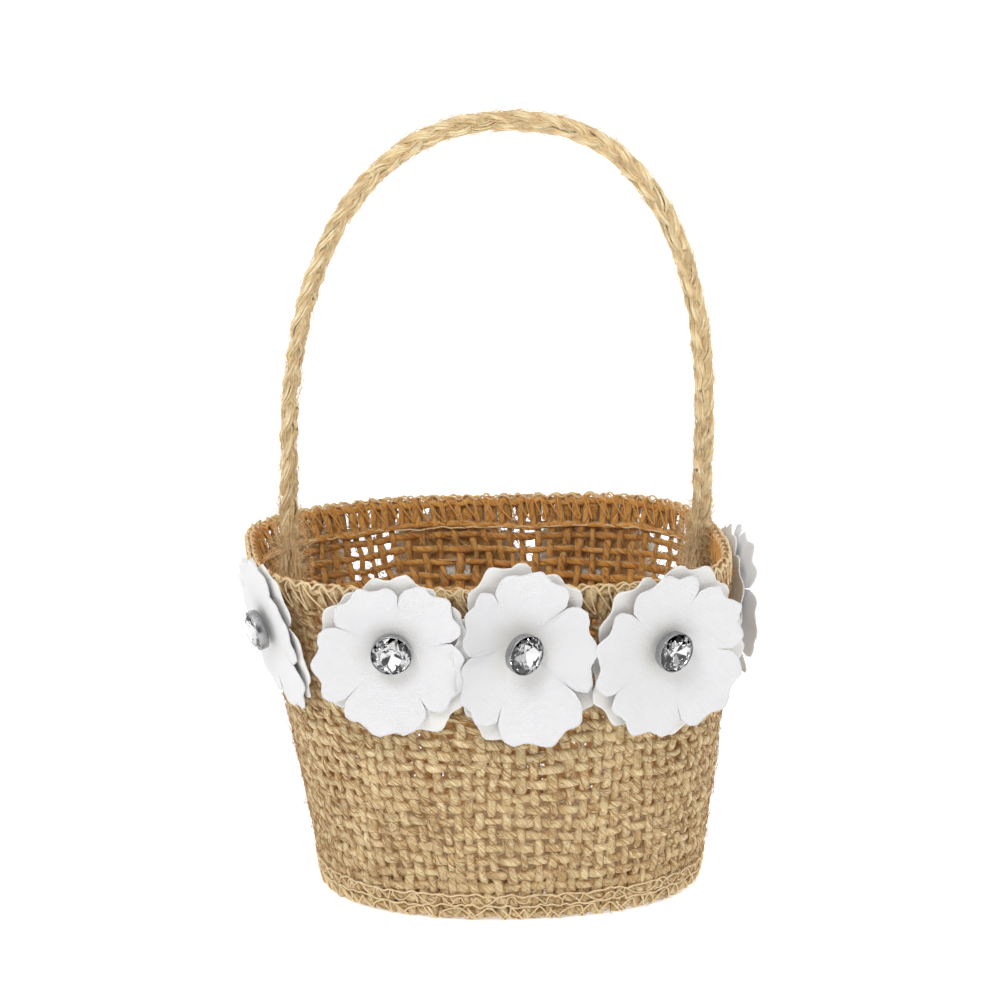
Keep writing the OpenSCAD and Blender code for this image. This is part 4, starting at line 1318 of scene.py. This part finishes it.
def brilliant(flower, spin):
    """Table, eight kites, eight stars and sixteen girdle facets in front, mirrors behind."""
    table_r, star_r, girdle_z, culet_z = 0.56 * STONE_R, 0.80 * STONE_R, 2.0, 0.42
    upper_z, lower_z, table_z = girdle_z + 0.15, girdle_z - 0.1, girdle_z + 1.5
    slope = (upper_z - table_z) / (STONE_R - table_r)
    star_z = table_z + (star_r * math.cos(math.pi / 8) - table_r) * slope
    back_r = 0.50 * STONE_R
    back_z = culet_z + back_r * math.cos(math.pi / 8) * (lower_z - culet_z) / STONE_R
    points = np.concatenate([
        ring_points(8, table_r, table_z), ring_points(8, star_r, star_z, 0.5),
        ring_points(16, STONE_R, upper_z), ring_points(16, STONE_R, lower_z),
        ring_points(8, back_r, back_z, 0.5), [[0, 0, culet_z]],
    ])
    table, star, upper, lower, back, culet = 0, 8, 16, 32, 48, 56        # first point of each ring
    crown = [tuple(range(8))]
    mirrors = []
    for k in range(8):
        after, before = (k + 1) % 8, (k - 1) % 8
        even, odd, next_even = 2 * k, 2 * k + 1, (2 * k + 2) % 16
        crown += [(table + k, star + k, table + after),
                  (table + k, star + before, upper + even, star + k),
                  (star + k, upper + even, upper + odd),
                  (star + k, upper + odd, upper + next_even)]
        mirrors += [(culet, back + k, lower + even, back + before),
                    (back + k, lower + odd, lower + even),
                    (back + k, lower + next_even, lower + odd)]
    for k in range(16):
        after = (k + 1) % 16
        crown.append((upper + k, lower + k, lower + after, upper + after))
    c, s = math.cos(spin), math.sin(spin)
    points = points @ np.array([[c, s, 0], [-s, c, 0], [0, 0, 1]])
    mesh = bpy.data.meshes.new(f"{flower['name']}_stone_cut")
    placed = (in_flower(flower, leaned(flower, points)) + CENTRING) * MM
    mesh.from_pydata(placed.tolist(), [], crown + mirrors)
    mesh.polygons.foreach_set("material_index", [0] * len(crown) + [1] * len(mirrors))
    obj = bpy.data.objects.new(f"{flower['name']}_cut_stone", mesh)
    mesh.materials.append(GLASS)
    mesh.materials.append(FOIL)
    as_piece(obj, None)
    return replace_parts(obj, f"{flower['name']}_flower_stone")


def leaned(flower, points):
    """The stone and its cup lean together about the edge of the cup that sits deepest."""
    turn = math.radians(flower["lean"])
    pivot = CUP_R if turn >= 0 else -CUP_R
    x = points[..., 0] - pivot
    c, s = math.cos(turn), math.sin(turn)
    return np.stack([pivot + x * c + points[..., 2] * s, points[..., 1],
                     CUP_Z - x * s + points[..., 2] * c], -1)


# %% Silver cup with a rolled lip
CUP_PROFILE = [(0, 0), (2.4, 0), (3.7, 0.02), (4.15, 0.12), (4.4, 0.4), (4.47, 0.9), (4.5, 1.6),
               (4.5, 2.1), (4.48, 2.24), (4.42, 2.31), (4.35, 2.29), (4.32, 2.2), (4.31, 1.8),
               (3.2, 1.3), (1.6, 0.3), (0, 0.2)]


def silver_cup(flower):
    around = 64
    points = np.concatenate([ring_points(around, max(r, 0.02), z) for r, z in CUP_PROFILE])
    n = len(CUP_PROFILE)
    i, j = np.arange(n - 1)[:, None], np.arange(around)[None, :]
    k = (j + 1) % around
    quads = np.stack([i * around + j, i * around + k, (i + 1) * around + k, (i + 1) * around + j], -1)
    quads = quads.reshape(-1, 4)
    caps = [[0, m + 2, m + 1, m] for m in range(1, around - 2, 2)]
    last = (n - 1) * around
    caps += [[last, last + m, last + m + 1, last + m + 2] for m in range(1, around - 2, 2)]
    placed = in_flower(flower, leaned(flower, points))
    cup = make_piece(f"{flower['name']}_cup", placed, np.concatenate([quads, caps]), SILVER)
    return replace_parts(cup, f"{flower['name']}_flower_stone_setting")


# %% Make the flowers
for index, flower in enumerate(FLOWERS):
    name, length, spin = flower["name"], flower["length"], flower["spin"]
    layers = (
        ("lower", length, spin, LOWER_Z, 1.3, LOWER_CLOTH),
        ("upper", length * 0.95, spin + 180 / PETALS, UPPER_Z, 3.0, UPPER_CLOTH),
    )
    for layer, reach, turned, z0, rise, cloth in layers:
        seed = 100 + 2 * index + (layer == "upper")
        points, quads, values, area, size = petal_layer(flower, reach, turned, z0, rise, seed)
        petals = make_piece(f"{name}_{layer}_petals", in_flower(flower, points), quads, cloth,
                            values)
        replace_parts(petals, f"{name}_flower_{layer}_petals")
    silver_cup(flower)
    brilliant(flower, 0.4 * index)
print(len(FLOWERS), "flowers made")

# %% [markdown]
# ## Parts carried over from the CAD model
# The card in the bottom and the dots of glue have their true shape already, so they are
# kept and only get their own finish: mottled pulp board and cloudy glue. The wire is drawn
# again, because it has to run inside its strand, which is more lively here than in the CAD.

# %% Finishes of the carried-over nodes
def finish_node(node, material):
    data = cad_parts[node].data
    data.materials.clear()
    data.materials.append(material)


def pulp_board():
    material, shader, tree = make_material("card_board", Base_Color=rgb(214, 190, 150), Roughness=0.9)
    spot = put(tree, "ShaderNodeTexCoord").outputs["Object"]
    noise = put(tree, "ShaderNodeTexNoise", {"Vector": spot, "Scale": 700.0, "Detail": 5.0})
    pulp = noise.outputs["Fac"]
    mottle = blend_colour(tree, pulp, rgb(228, 206, 168), rgb(192, 164, 120))
    tree.links.new(mottle, shader.inputs["Base Color"])
    relief = put(tree, "ShaderNodeBump", {"Height": pulp, "Strength": 0.3, "Distance": 0.0001})
    tree.links.new(relief.outputs[0], shader.inputs["Normal"])
    return material


STEEL = scratched("steel_wire", rgb(150, 148, 145), 1.0, 1200, 0.25, 0.5, 0.2)
GLUE = scratched("hot_glue", rgb(238, 234, 222), 0.0, 400, 0.3, 0.5, 0.4, Subsurface_Weight=0.3)
wire = Skein().add(strand_lines[0][2:-2], 0.4, sides=8)
wire.piece("wire_core", STEEL, "wire", "handle_wire")
finish_node("base_card", pulp_board())
finish_node("flower_glue_dots", GLUE)
